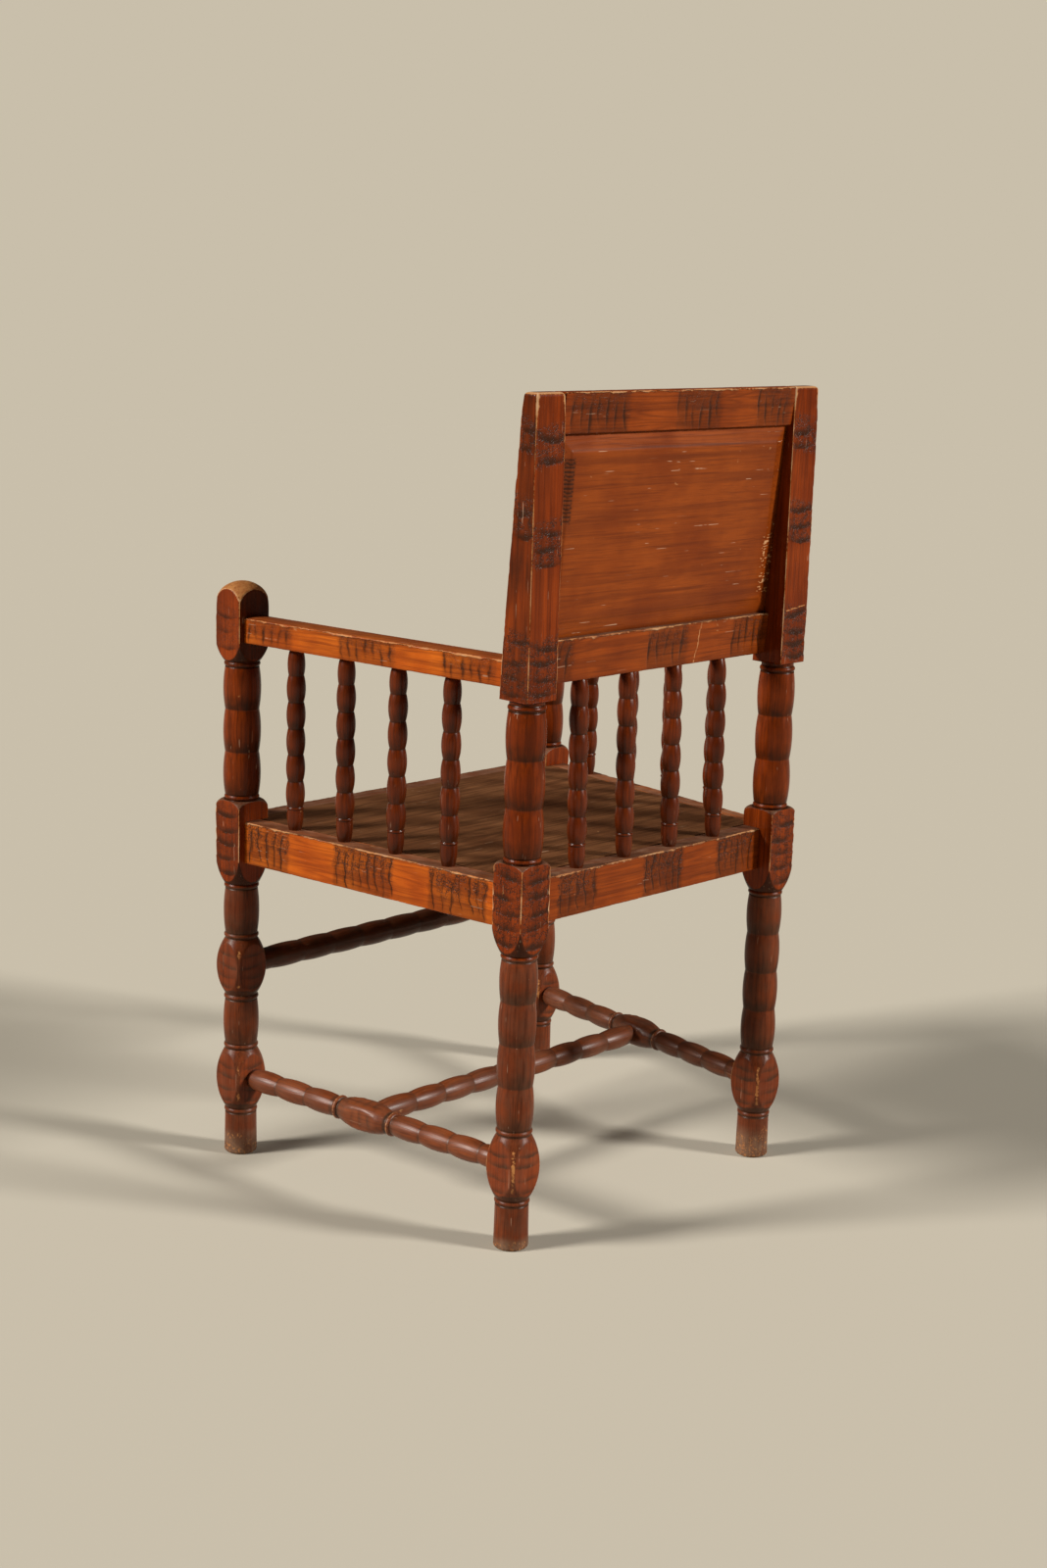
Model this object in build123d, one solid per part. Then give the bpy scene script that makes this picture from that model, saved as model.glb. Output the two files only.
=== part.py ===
from build123d import *
import math
import os

# Armchair with turned posts, spindle arms and a panelled back. Millimetres, +Z up.
# The front of the chair faces -Y and the sitter's left is +X.
# Origin: on the floor, midway between the four posts.

# ---- overall layout ----
STOCK = 48.0             # side of the square stock the posts are turned from
FRONT_SPACING = 554.0    # between the axes of the front posts
REAR_SPACING = 453.0     # between the axes of the rear posts
AXIS_DEPTH = 452.0       # from the front post axes to the rear post axes
BACK_TOP = 1010.0        # top of the back
FINIAL_TOP = 752.0       # top of the domed front posts
SEAT_TOP = 449.5         # top of the seat board and of its rails

# ---- turned post levels ----
FOOT_RING = 59.0
LOWER_BLOCK_RING = 147.0
MID_BLOCK_LOW_RING = 213.0
MID_BLOCK_TOP_RING = 295.5
SEAT_BLOCK_LOW_RING = 361.5
SEAT_BLOCK_TOP_RING = 477.5
FINIAL_RING = 648.5
BACK_BLOCK_RING = 655.5
BACK_BLOCK_BOTTOM = 664.5
RING_HALF = 3.4          # half the height of a bead ring with its two quirks
RING_CREST_HALF = 2.4    # half the height of the bead itself
RUN_START = 3.6          # from the centre of a ring to the next turned length

# ---- turned radii ----
CORNER_R = STOCK / 2 * math.sqrt(2)
FOOT_R = 21.2
FOOT_TOP_R = 20.6
TOE_ROUND = 3.0          # rounding at the tip of a foot
TOE_HEIGHT = 5.0
RING_R = 22.4
FOOT_RING_R = 21.6
FINIAL_RING_R = 23.0
BACK_BLOCK_RING_R = 22.8
RING_QUIRK = 2.0         # depth of the quirks beside a ring
RING_SHOULDER = 1.0      # depth of the bead where it drops into a quirk
NECK_R = 20.8
LEG_BELLY_R = 22.9
ARM_POST_NECK_R = 21.6
ARM_POST_BELLY_R = 23.9
EGG_END_R = 20.4
EGG_BELLY_R = 32.0
LOWER_SHOULDER = 36.0    # height of the rounding below the seat block
LOWER_SHOULDER_MID = 20.0
LOWER_SHOULDER_R = 31.04
FRONT_TOP_ROUND = 14.0   # height of the rounding above the seat block
REAR_TOP_ROUND = 6.0
TOP_ROUND_R = 30.94
TOP_ROUND_MID = 0.3      # share of the upper rounding above its middle point
FINIAL_SHOULDER = 24.0
FINIAL_SHOULDER_MID = 13.0
FINIAL_SHOULDER_R = 30.54
FINIAL_SHOULDER_LOW_R = 22.8
CORNER_CLEAR = 0.1       # keeps the turned envelope just outside the square corners
DOME_RIM_R = 24.6        # where the haunch of the finial meets its spherical crown
DOME_RISE = 9.0
HAUNCH_R = 31.5
HAUNCH_MID = 19.0        # below the top of the finial
HAUNCH_LOW = 33.0

# ---- seat ----
RAIL_HEIGHT = 54.0
RAIL_THICK = 34.0
RAIL_BOTTOM = SEAT_TOP - RAIL_HEIGHT
REAR_RAIL_Y = 213.0      # centre line of the rear rail, set forward of the post axes
BOARD_THICK = 14.0
BOARD_INSET = 27.0       # from the outer rail faces to the edge of the seat board
BOARD_GAP = 0.3
EDGE_ROUND = 1.5

# ---- arms ----
ARM_WIDTH = 35.0
ARM_BOTTOM = 677.7
ARM_HEIGHT = 31.0
ARM_CROWN = 2.2
ARM_OUTWARD = 1.0        # the arms sit this far outside the line of the post axes
ARM_SPINDLE_FIRST_Y = -133.0
ARM_SPINDLE_PITCH = 83.0

# ---- back ----
FRONT_RAKE = 4.0         # slope of the front faces of the rear posts
BACK_BLOCK_FRONT_Y = 203.0
FRAME_RAKE = 4.8         # slope of the rails and panel between the rear posts
FRAME_Y = 224.0          # rear face of the lower back rail at its mid height
FRAME_Z = 702.0
FRAME_THICK = 20.0
LOWER_RAIL_HALF = 26.0
TOP_RAIL_LOW = 262.0     # up the slope from the middle of the lower rail
TOP_RAIL_HIGH = 312.0
PANEL_TONGUE_REAR = -7.0
PANEL_TONGUE_THICK = 6.0
PANEL_FIELD_REAR = -2.0
PANEL_BEVEL = 20.0
FIELD_STEP = 0.8         # height of the small step round the raised field
GROOVE_DEPTH = 8.0
PANEL_IN_GROOVE = 7.0
BACK_SPINDLE_PITCH = 83.3
BACK_SPINDLE_FOOT_Y = 216.5
BACK_SPINDLE_TOP_Y = 211.5

# ---- spindles ----
SPINDLE_BEADS = 6
SPINDLE_FOOT = 29.0
SPINDLE_END_R = 8.0
SPINDLE_NECK_R = 9.7
SPINDLE_BELLY_R = 12.0
SPINDLE_RING_R = 11.0
SPINDLE_TENON_R = 5.5
SPINDLE_TENON = 16.0
SPINDLE_FOOT_BELLY_R = 10.4
SPINDLE_FOOT_TOP_R = 9.9
SPINDLE_RING_LOW = 2.6   # below the top of the foot
SPINDLE_RING_MID = 1.0
SPINDLE_RING_TOP = 0.6   # above the top of the foot
SPINDLE_TOP_BELLY_R = 11.1
LEAN_SPARE = 1.5         # extra length on leaning spindles, trimmed off by the rails

# ---- stretchers ----
STRETCHER_Z = 104.0
FRONT_STRETCHER_Z = 254.0
STRETCHER_STOCK = 34.0
STRETCHER_NECK_R = 12.6
STRETCHER_BELLY_R = 14.8
STRETCHER_RING_R = 15.4
STRETCHER_BLOCK_R = 21.0
STRETCHER_TENON_R = 9.0
STRETCHER_TENON = 20.0
BLOCK_CENTRE_Y = -6.0
BLOCK_HALF = 44.5        # from the middle of a centre block to its rings
END_BEAD = 20.0          # last bead of a side stretcher, half hidden by the rear post
END_BEAD_R = 13.8
POST_ENTRY = 2.0         # how far the round of a stretcher goes into a post's flat
CROSS_COLLAR = 8.0
FRONT_COLLAR = 21.0
BLOCK_ENTRY = 1.6        # how far the cross stretcher runs past the centre block's flat
FRONT_STRETCHER_NECK_R = 14.4
FRONT_STRETCHER_BELLY_R = 15.8
CROSS_TENON_R = 8.0
CROSS_TENON = 12.0

# ---- hidden fixings ----
GLUE_GAP = 0.1
DOWEL_R = 4.0
DOWEL_HALF = 22.0
CORNER_BLOCK_HEIGHT = 30.0
RAIL_SCREW = 34.0
RAIL_SCREW_COVER = 14.0  # block left between a screw head and the rail
BOARD_SCREW = 40.0
CORNER_BLOCK_NEAR = 18.0
CORNER_BLOCK_FAR = 63.0
SCREW_R = 2.0
SCREW_HEAD_R = 4.0
SCREW_HEAD = 3.0

HALF_STOCK = STOCK / 2
FRONT_Y = -AXIS_DEPTH / 2
REAR_Y = AXIS_DEPTH / 2
FRONT_X = FRONT_SPACING / 2
REAR_X = REAR_SPACING / 2
BOARD_BOTTOM = SEAT_TOP - BOARD_THICK
SCREW_Z = BOARD_BOTTOM - CORNER_BLOCK_HEIGHT / 2
SIDE_LEVELS = [RAIL_BOTTOM + 21.5, RAIL_BOTTOM + 43.5]     # the two rails at a post take dowels
CROSS_LEVELS = [RAIL_BOTTOM + 10.5, RAIL_BOTTOM + 32.5]    # at different levels, so none meet
BACK_LEVELS = [-14.0, 14.0, TOP_RAIL_LOW + 15.0, TOP_RAIL_LOW + 35.0]
ARM_DOWEL_Z = ARM_BOTTOM + ARM_HEIGHT / 2
SIDE_SLOPE = (FRONT_X - REAR_X) / AXIS_DEPTH
SIDE_ANGLE = math.degrees(math.atan(SIDE_SLOPE))
FAR = 1200.0


# ---- layout helpers ----
def side_x(y):
    """X of the line through the left post axes at depth y."""
    return FRONT_X - (y - FRONT_Y) * SIDE_SLOPE


def on_side(shape, y, z):
    """Carry a shape built along +Y onto the left side line."""
    return Pos(side_x(y), y, z) * Rot(0, 0, SIDE_ANGLE) * shape


def in_back(shape):
    """Carry a shape from the upright back frame to its raked place."""
    return Pos(0, FRAME_Y, FRAME_Z) * Rot(-FRAME_RAKE, 0, 0) * shape


def other_side(shape):
    """The right-hand twin of a left-hand piece."""
    return mirror(shape, about=Plane.YZ)


def back_front_y(z):
    """Depth of the raked front face of a rear post at height z."""
    return BACK_BLOCK_FRONT_Y + (z - BACK_BLOCK_BOTTOM) * math.tan(math.radians(FRONT_RAKE))


# ---- turning helpers: a run is (r, z) for a straight cut or (mid r, mid z, r, z) for a curve ----
def turned(start_z, runs):
    """Solid of revolution about Z whose half outline starts and ends on the axis."""
    edges = []
    here = (0, 0, start_z)
    for run in runs:
        there = (run[-2], 0, run[-1])
        if len(run) == 2:
            edges.append(Line(here, there))
        else:
            edges.append(ThreePointArc(here, (run[0], 0, run[1]), there))
        here = there
    edges.append(Line(here, (0, 0, start_z)))
    outline = make_face(Curve() + edges)
    return revolve(outline, Axis.Z)


def ring(z, r):
    """A thin bead between two quirks."""
    quirk = r - RING_QUIRK
    shoulder = r - RING_SHOULDER
    low = [(quirk, z - RING_HALF), (shoulder, z - RING_CREST_HALF)]
    return low + [(r, z, shoulder, z + RING_CREST_HALF), (quirk, z + RING_HALF)]


def bellies(low, high, count, neck, belly):
    """A row of barrel-shaped swellings that meet in necks."""
    step = (high - low) / count
    runs = [(neck, low)]
    for i in range(count):
        base = low + i * step
        runs.append((belly, base + step / 2, neck, base + step))
    return runs


def between(low, high, count, neck, belly):
    """Bellies that fill the length between two ring centres."""
    return bellies(low + RUN_START, high - RUN_START, count, neck, belly)


def foot_runs():
    """Plain round foot with an eased tip."""
    toe = [(FOOT_R - TOE_ROUND, 0), (FOOT_R - TOE_ROUND * 0.3, TOE_HEIGHT * 0.24, FOOT_R, TOE_HEIGHT)]
    leg = [(FOOT_TOP_R, FOOT_RING - RUN_START)]
    return toe + leg + ring(FOOT_RING, FOOT_RING_R)


def seat_block_runs(top_round):
    """Square block with a long lower shoulder and a short upper one."""
    low = SEAT_BLOCK_LOW_RING + RUN_START
    high = SEAT_BLOCK_TOP_RING - RUN_START
    corner = CORNER_R + CORNER_CLEAR
    lower = [(RING_R, low), (LOWER_SHOULDER_R, low + LOWER_SHOULDER_MID, corner, low + LOWER_SHOULDER)]
    straight = [(corner, high - top_round)]
    upper = [(TOP_ROUND_R, high - top_round * TOP_ROUND_MID, RING_R, high)]
    return lower + straight + upper


# ---- dowels and bores ----
def side_dowels(y, levels, offset=0.0):
    """Dowels along the side line, half in the post and half in the rail."""
    pegs = []
    for z in levels:
        peg = Cylinder(DOWEL_R, 2 * DOWEL_HALF, rotation=(90, 0, 0))
        pegs.append(on_side(Pos(offset, 0, 0) * peg, y, z))
    return pegs


def cross_dowels(x, y, levels):
    """Dowels along X, half in the post and half in the rail."""
    pegs = []
    for z in levels:
        pegs.append(Pos(x, y, z) * Cylinder(DOWEL_R, 2 * DOWEL_HALF, rotation=(0, 90, 0)))
    return pegs




def left_seat_dowels():
    front = FRONT_Y + HALF_STOCK
    rear = REAR_Y - HALF_STOCK
    pegs = side_dowels(front, SIDE_LEVELS) + side_dowels(rear, SIDE_LEVELS)
    pegs += cross_dowels(FRONT_X - HALF_STOCK, FRONT_Y, CROSS_LEVELS)
    pegs += cross_dowels(REAR_X - HALF_STOCK, REAR_RAIL_Y, CROSS_LEVELS)
    return pegs


def left_back_dowels():
    pegs = []
    for level in BACK_LEVELS:
        peg = Cylinder(DOWEL_R, 2 * DOWEL_HALF - 4, rotation=(0, 90, 0))
        pegs.append(in_back(Pos(REAR_X - HALF_STOCK, -FRAME_THICK / 2, level) * peg))
    return pegs


def left_arm_dowels():
    front = side_dowels(FRONT_Y + HALF_STOCK, [ARM_DOWEL_Z], ARM_OUTWARD)
    rear = side_dowels(back_front_y(ARM_DOWEL_Z), [ARM_DOWEL_Z], ARM_OUTWARD)
    return front + rear


def dowel_bores(pegs):
    """Holes a little larger than the dowels that fill them."""
    holes = []
    for peg in pegs:
        holes.append(offset(peg, GLUE_GAP, kind=Kind.INTERSECTION))
    return holes


def stretcher_bore(y):
    tool = Cylinder(STRETCHER_TENON_R + GLUE_GAP, 2 * STRETCHER_TENON + 1, rotation=(90, 0, 0))
    return on_side(tool, y, STRETCHER_Z)


# ---- posts ----
def front_post():
    """Left front post, from its round foot to its domed finial."""
    runs = foot_runs()
    runs += between(FOOT_RING, LOWER_BLOCK_RING, 1, EGG_END_R, EGG_BELLY_R)
    runs += ring(LOWER_BLOCK_RING, RING_R)
    runs += between(LOWER_BLOCK_RING, MID_BLOCK_LOW_RING, 1, NECK_R, LEG_BELLY_R)
    runs += ring(MID_BLOCK_LOW_RING, RING_R)
    runs += between(MID_BLOCK_LOW_RING, MID_BLOCK_TOP_RING, 1, EGG_END_R, EGG_BELLY_R)
    runs += ring(MID_BLOCK_TOP_RING, RING_R)
    runs += between(MID_BLOCK_TOP_RING, SEAT_BLOCK_LOW_RING, 1, NECK_R, LEG_BELLY_R)
    runs += ring(SEAT_BLOCK_LOW_RING, RING_R)
    runs += seat_block_runs(FRONT_TOP_ROUND)
    runs += ring(SEAT_BLOCK_TOP_RING, RING_R)
    runs += between(SEAT_BLOCK_TOP_RING, FINIAL_RING, 3, ARM_POST_NECK_R, ARM_POST_BELLY_R)
    runs += ring(FINIAL_RING, FINIAL_RING_R)
    runs += finial_runs()
    blank = Box(STOCK, STOCK, FAR, align=(Align.CENTER, Align.CENTER, Align.MIN))
    post = Pos(FRONT_X, FRONT_Y, 0) * (turned(0, runs) & blank)
    front_bore = Cylinder(STRETCHER_TENON_R + GLUE_GAP, 2 * STRETCHER_TENON + 1, rotation=(0, 90, 0))
    post -= Pos(FRONT_X - HALF_STOCK, FRONT_Y, FRONT_STRETCHER_Z) * front_bore
    post -= stretcher_bore(FRONT_Y + HALF_STOCK)
    return drilled(post, left_seat_dowels() + left_arm_dowels())


def finial_runs():
    """Square block below a full dome."""
    low = FINIAL_RING + RUN_START
    corner = CORNER_R + CORNER_CLEAR
    shoulder = [(FINIAL_SHOULDER_LOW_R, low)]
    shoulder += [(FINIAL_SHOULDER_R, low + FINIAL_SHOULDER_MID, corner, low + FINIAL_SHOULDER)]
    straight = [(corner, FINIAL_TOP - HAUNCH_LOW)]
    haunch = [(HAUNCH_R, FINIAL_TOP - HAUNCH_MID, DOME_RIM_R, FINIAL_TOP - DOME_RISE)]
    radius = (DOME_RIM_R ** 2 + DOME_RISE ** 2) / (2 * DOME_RISE)
    middle = math.asin(DOME_RIM_R / radius) / 2
    crown = [(radius * math.sin(middle), FINIAL_TOP - radius * (1 - math.cos(middle)), 0, FINIAL_TOP)]
    return shoulder + straight + haunch + crown


def rear_post():
    """Left rear post: turned below, square and raked behind the sitter."""
    runs = foot_runs()
    runs += between(FOOT_RING, LOWER_BLOCK_RING, 1, EGG_END_R, EGG_BELLY_R)
    runs += ring(LOWER_BLOCK_RING, RING_R)
    runs += between(LOWER_BLOCK_RING, SEAT_BLOCK_LOW_RING, 4, NECK_R, LEG_BELLY_R)
    runs += ring(SEAT_BLOCK_LOW_RING, RING_R)
    runs += seat_block_runs(REAR_TOP_ROUND)
    runs += ring(SEAT_BLOCK_TOP_RING, RING_R)
    runs += between(SEAT_BLOCK_TOP_RING, BACK_BLOCK_RING, 3, ARM_POST_NECK_R, ARM_POST_BELLY_R)
    runs += ring(BACK_BLOCK_RING, BACK_BLOCK_RING_R)
    runs += [(NECK_R, BACK_BLOCK_BOTTOM + 1), (0, BACK_BLOCK_BOTTOM + 1)]
    blank = Box(STOCK, STOCK, FAR, align=(Align.CENTER, Align.CENTER, Align.MIN))
    lower = Pos(REAR_X, REAR_Y, 0) * (turned(0, runs) & blank)
    post = lower + back_block()
    post -= stretcher_bore(REAR_Y - HALF_STOCK)
    post -= in_back(panel_groove())
    return drilled(post, left_seat_dowels() + left_back_dowels() + left_arm_dowels())


def back_block():
    """Square upper length of a rear post, thinned toward the top by its raked front face."""
    front = back_front_y(BACK_BLOCK_BOTTOM)
    rear = REAR_Y + HALF_STOCK
    corners = [
        (front, BACK_BLOCK_BOTTOM),
        (rear, BACK_BLOCK_BOTTOM),
        (rear, BACK_TOP),
        (back_front_y(BACK_TOP), BACK_TOP),
    ]
    side = Plane.YZ * make_face(Polyline(*corners, close=True))
    block = extrude(side, amount=HALF_STOCK, both=True)
    block = fillet(block.edges().group_by(Axis.Z)[-1], EDGE_ROUND * 2)
    return Pos(REAR_X, 0, 0) * block


def panel_groove():
    """Room for the tongue of the panel in the inner face of the left rear post."""
    height = TOP_RAIL_LOW - LOWER_RAIL_HALF + 2 * GROOVE_DEPTH
    middle = (TOP_RAIL_LOW + LOWER_RAIL_HALF) / 2
    tool = Box(2 * GROOVE_DEPTH, PANEL_TONGUE_THICK + 2 * GLUE_GAP, height)
    return Pos(REAR_X - HALF_STOCK, PANEL_TONGUE_REAR - PANEL_TONGUE_THICK / 2, middle) * tool


def cut_by(piece, tools):
    """Cut a piece by those tools that reach into it."""
    room = piece.bounding_box()
    for tool in tools:
        box = tool.bounding_box()
        clear = box.min.X > room.max.X or box.max.X < room.min.X
        clear = clear or box.min.Y > room.max.Y or box.max.Y < room.min.Y
        clear = clear or box.min.Z > room.max.Z or box.max.Z < room.min.Z
        if not clear:
            piece -= tool
    return piece


def drilled(piece, pegs):
    """Cut the dowel holes that reach into a piece."""
    return cut_by(piece, dowel_bores(pegs))


# ---- seat ----
def side_rail():
    """Left seat rail with its rabbet, spindle bores and screw holes."""
    blank = fillet(Box(RAIL_THICK, FAR, RAIL_HEIGHT).edges().filter_by(Axis.Y), EDGE_ROUND)
    rail = on_side(blank, 0, SEAT_TOP - RAIL_HEIGHT / 2)
    rail &= Box(FAR, AXIS_DEPTH - STOCK, FAR * 2)
    rail -= board_space()
    for y in arm_spindle_depths():
        rail -= spindle_bore(side_x(y), y, SEAT_TOP)
    return drilled(cut_by(rail, rail_screw_holes()), left_seat_dowels())


def arm_spindle_depths():
    return [ARM_SPINDLE_FIRST_Y + i * ARM_SPINDLE_PITCH for i in range(4)]


def back_spindle_places():
    return [(i - 1.5) * BACK_SPINDLE_PITCH for i in range(4)]


def spindle_bore(x, y, z):
    tool = Cylinder(SPINDLE_TENON_R + GLUE_GAP, 2 * SPINDLE_TENON + 1)
    return Pos(x, y, z) * tool


def cross_rail(y, spacing):
    """Seat rail across the chair between two posts."""
    length = spacing - STOCK
    rail = Box(length, RAIL_THICK, RAIL_HEIGHT)
    rail = fillet(rail.edges().filter_by(Axis.X), EDGE_ROUND)
    rail = Pos(0, y, SEAT_TOP - RAIL_HEIGHT / 2) * rail
    return rail - board_space()


def both_sides(shapes):
    """Left-hand pieces together with their right-hand twins."""
    return shapes + [other_side(shape) for shape in shapes]


def front_rail():
    rail = cross_rail(FRONT_Y, FRONT_SPACING)
    return drilled(cut_by(rail, both_sides(rail_screw_holes())), both_sides(left_seat_dowels()))


def rear_rail():
    rail = cross_rail(REAR_RAIL_Y, REAR_SPACING)
    for x in back_spindle_places():
        rail -= leaning_back(spindle_bore(0, 0, 0), x)
    return drilled(cut_by(rail, both_sides(rail_screw_holes())), both_sides(left_seat_dowels()))


def board_outline(gap):
    """Plan of the seat board, drawn inside the outer rail faces."""
    inset = (BOARD_INSET - RAIL_THICK / 2 + gap) / math.cos(math.radians(SIDE_ANGLE))
    front = FRONT_Y - RAIL_THICK / 2 + BOARD_INSET + gap
    rear = REAR_RAIL_Y + RAIL_THICK / 2 - BOARD_INSET - gap
    corners = [
        (side_x(front) - inset, front),
        (side_x(rear) - inset, rear),
        (inset - side_x(rear), rear),
        (inset - side_x(front), front),
    ]
    return make_face(Polyline(*corners, close=True))


def board_space():
    """What the rails lose to the seat board."""
    return Pos(0, 0, BOARD_BOTTOM) * extrude(board_outline(0), amount=BOARD_THICK + 5)


def seat_board():
    board = Pos(0, 0, BOARD_BOTTOM) * extrude(board_outline(BOARD_GAP), amount=BOARD_THICK)
    room = STOCK + 2 * BOARD_GAP
    notch = Box(room, room, 4 * BOARD_THICK)
    for x in (FRONT_X, -FRONT_X):
        board -= Pos(x, FRONT_Y, SEAT_TOP) * notch
    for x in (REAR_X, -REAR_X):
        board -= Pos(x, REAR_Y, SEAT_TOP) * notch
    return cut_by(board, both_sides(board_screw_holes()))


# ---- corner blocks and screws under the seat ----
def front_block_corners():
    """Plan corners of the left front block, against the front and the left rail."""
    y = FRONT_Y + RAIL_THICK / 2
    x = FRONT_X - HALF_STOCK
    inset = RAIL_THICK / 2 / math.cos(math.radians(SIDE_ANGLE))
    near = FRONT_Y + HALF_STOCK + CORNER_BLOCK_NEAR
    far = FRONT_Y + HALF_STOCK + CORNER_BLOCK_FAR
    return [(x - CORNER_BLOCK_FAR, y), (x - CORNER_BLOCK_NEAR, y),
            (side_x(near) - inset, near), (side_x(far) - inset, far)]


def rear_block_corners():
    """Plan corners of the left rear block, against the rear and the left rail."""
    y = REAR_RAIL_Y - RAIL_THICK / 2
    x = REAR_X - HALF_STOCK
    inset = RAIL_THICK / 2 / math.cos(math.radians(SIDE_ANGLE))
    near = y - CORNER_BLOCK_NEAR
    far = y - CORNER_BLOCK_FAR
    return [(x - CORNER_BLOCK_FAR, y), (x - CORNER_BLOCK_NEAR, y),
            (side_x(near) - inset, near), (side_x(far) - inset, far)]


def screw(length):
    """Round-headed wood screw pointing up +Z, underside of the head at the origin."""
    shank = Cylinder(SCREW_R, length, align=(Align.CENTER, Align.CENTER, Align.MIN))
    head = Cylinder(SCREW_HEAD_R, SCREW_HEAD, align=(Align.CENTER, Align.CENTER, Align.MAX))
    return shank + fillet(head.edges().group_by(Axis.Z)[0], 1.2)


def screw_hole(length):
    """Hole for a screw, with a counterbore that clears its head."""
    shank = Cylinder(SCREW_R + 0.05, length + 1, align=(Align.CENTER, Align.CENTER, Align.MIN))
    well = Cylinder(SCREW_HEAD_R + 0.6, 60, align=(Align.CENTER, Align.CENTER, Align.MAX))
    return shank + well


def cross_screw_place(corners, turn):
    """Where a screw goes through a block into the front or rear rail."""
    x = corners[0][0] * 0.55 + corners[1][0] * 0.45
    back_off = math.copysign(RAIL_SCREW_COVER, turn)
    return Pos(x, corners[0][1] + back_off, SCREW_Z) * Rot(turn, 0, 0)


def side_screw_place(corners):
    """Where a screw goes through a block into the left rail, square to that rail."""
    x = corners[3][0] * 0.55 + corners[2][0] * 0.45
    y = corners[3][1] * 0.55 + corners[2][1] * 0.45
    return Pos(x, y, SCREW_Z) * Rot(0, 0, SIDE_ANGLE) * Pos(-RAIL_SCREW_COVER, 0, 0) * Rot(0, 90, 0)


def board_screw_place(corners):
    """Where a screw goes up through a block into the seat board."""
    x = sum(corner[0] for corner in corners) / 4
    y = sum(corner[1] for corner in corners) / 4
    return Pos(x, y, BOARD_BOTTOM - CORNER_BLOCK_HEIGHT)


def block_screw_places(corners, turn):
    return [cross_screw_place(corners, turn), side_screw_place(corners)]


def left_rail_screw_places():
    return block_screw_places(front_block_corners(), 90) + block_screw_places(rear_block_corners(), -90)


def left_board_screw_places():
    return [board_screw_place(front_block_corners()), board_screw_place(rear_block_corners())]


def rail_screw_holes():
    return [place * screw_hole(RAIL_SCREW) for place in left_rail_screw_places()]


def board_screw_holes():
    return [place * screw_hole(BOARD_SCREW) for place in left_board_screw_places()]


def left_corner_block(corners):
    """Glue block with counterbored screws into both rails and one up into the seat."""
    outline = make_face(Polyline(*corners, close=True))
    block = extrude(outline, amount=CORNER_BLOCK_HEIGHT)
    block = Pos(0, 0, BOARD_BOTTOM - CORNER_BLOCK_HEIGHT) * block
    return cut_by(block, rail_screw_holes() + board_screw_holes())


# ---- arms and their spindles ----
def arm():
    """Left arm with a crowned top, cut to the faces of its two posts."""
    half = ARM_WIDTH / 2
    low = ARM_BOTTOM
    shoulder = ARM_BOTTOM + ARM_HEIGHT
    edges = [
        Line((half, 0, shoulder), (half, 0, low)),
        Line((half, 0, low), (-half, 0, low)),
        Line((-half, 0, low), (-half, 0, shoulder)),
        ThreePointArc((-half, 0, shoulder), (0, 0, shoulder + ARM_CROWN), (half, 0, shoulder)),
    ]
    bar = extrude(make_face(Curve() + edges), amount=AXIS_DEPTH, both=True, dir=(0, 1, 0))
    bar = fillet(bar.edges().filter_by(Axis.Y), EDGE_ROUND)
    bar = on_side(Pos(ARM_OUTWARD, 0, 0) * bar, 0, 0)
    bar &= arm_room()
    for y in arm_spindle_depths():
        bar -= spindle_bore(side_x(y), y, ARM_BOTTOM)
    return drilled(bar, left_arm_dowels())


def arm_room():
    """Clear space between the front post and the raked face of the rear post."""
    front = FRONT_Y + HALF_STOCK
    low = BACK_BLOCK_BOTTOM
    corners = [(front, low), (back_front_y(low), low), (back_front_y(BACK_TOP), BACK_TOP), (front, BACK_TOP)]
    return extrude(Plane.YZ * make_face(Polyline(*corners, close=True)), amount=FAR / 2, both=True)


def spindle(length, spare=0.0):
    """Turned spindle with its tenons, foot at the origin, with spare length at each shoulder."""
    bead_length = (length - SPINDLE_FOOT) / SPINDLE_BEADS
    top = length + spare
    runs = [(SPINDLE_TENON_R, -SPINDLE_TENON), (SPINDLE_TENON_R, -spare), (SPINDLE_END_R, -spare)]
    ring_low = SPINDLE_FOOT - SPINDLE_RING_LOW
    ring_top = SPINDLE_FOOT + SPINDLE_RING_TOP
    runs += [(SPINDLE_FOOT_BELLY_R, SPINDLE_FOOT * 0.55, SPINDLE_FOOT_TOP_R, ring_low)]
    runs += [(SPINDLE_RING_R, SPINDLE_FOOT - SPINDLE_RING_MID, SPINDLE_NECK_R, ring_top)]
    for i in range(SPINDLE_BEADS - 1):
        base = ring_top + i * bead_length
        runs.append((SPINDLE_BELLY_R, base + bead_length / 2, SPINDLE_NECK_R, base + bead_length))
    neck = runs[-1][-1]
    runs.append((SPINDLE_TOP_BELLY_R, (neck + top) / 2 - 2, SPINDLE_END_R, top))
    runs += [(SPINDLE_TENON_R, top), (SPINDLE_TENON_R, length + SPINDLE_TENON), (0, length + SPINDLE_TENON)]
    return turned(-SPINDLE_TENON, runs)


def arm_spindle(y):
    return Pos(side_x(y), y, SEAT_TOP) * spindle(ARM_BOTTOM - SEAT_TOP)


# ---- back ----
def back_spindle_top_z():
    """Underside of the lower back rail above a spindle."""
    slope = math.radians(FRAME_RAKE)
    return FRAME_Z - LOWER_RAIL_HALF * math.cos(slope) + FRAME_THICK / 2 * math.sin(slope)


def leaning_back(shape, x):
    """Stand a shape on the rear rail, leaning like a back spindle."""
    rise = back_spindle_top_z() - SEAT_TOP
    lean = math.degrees(math.atan((BACK_SPINDLE_FOOT_Y - BACK_SPINDLE_TOP_Y) / rise))
    return Pos(x, BACK_SPINDLE_FOOT_Y, SEAT_TOP) * Rot(lean, 0, 0) * shape


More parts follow.
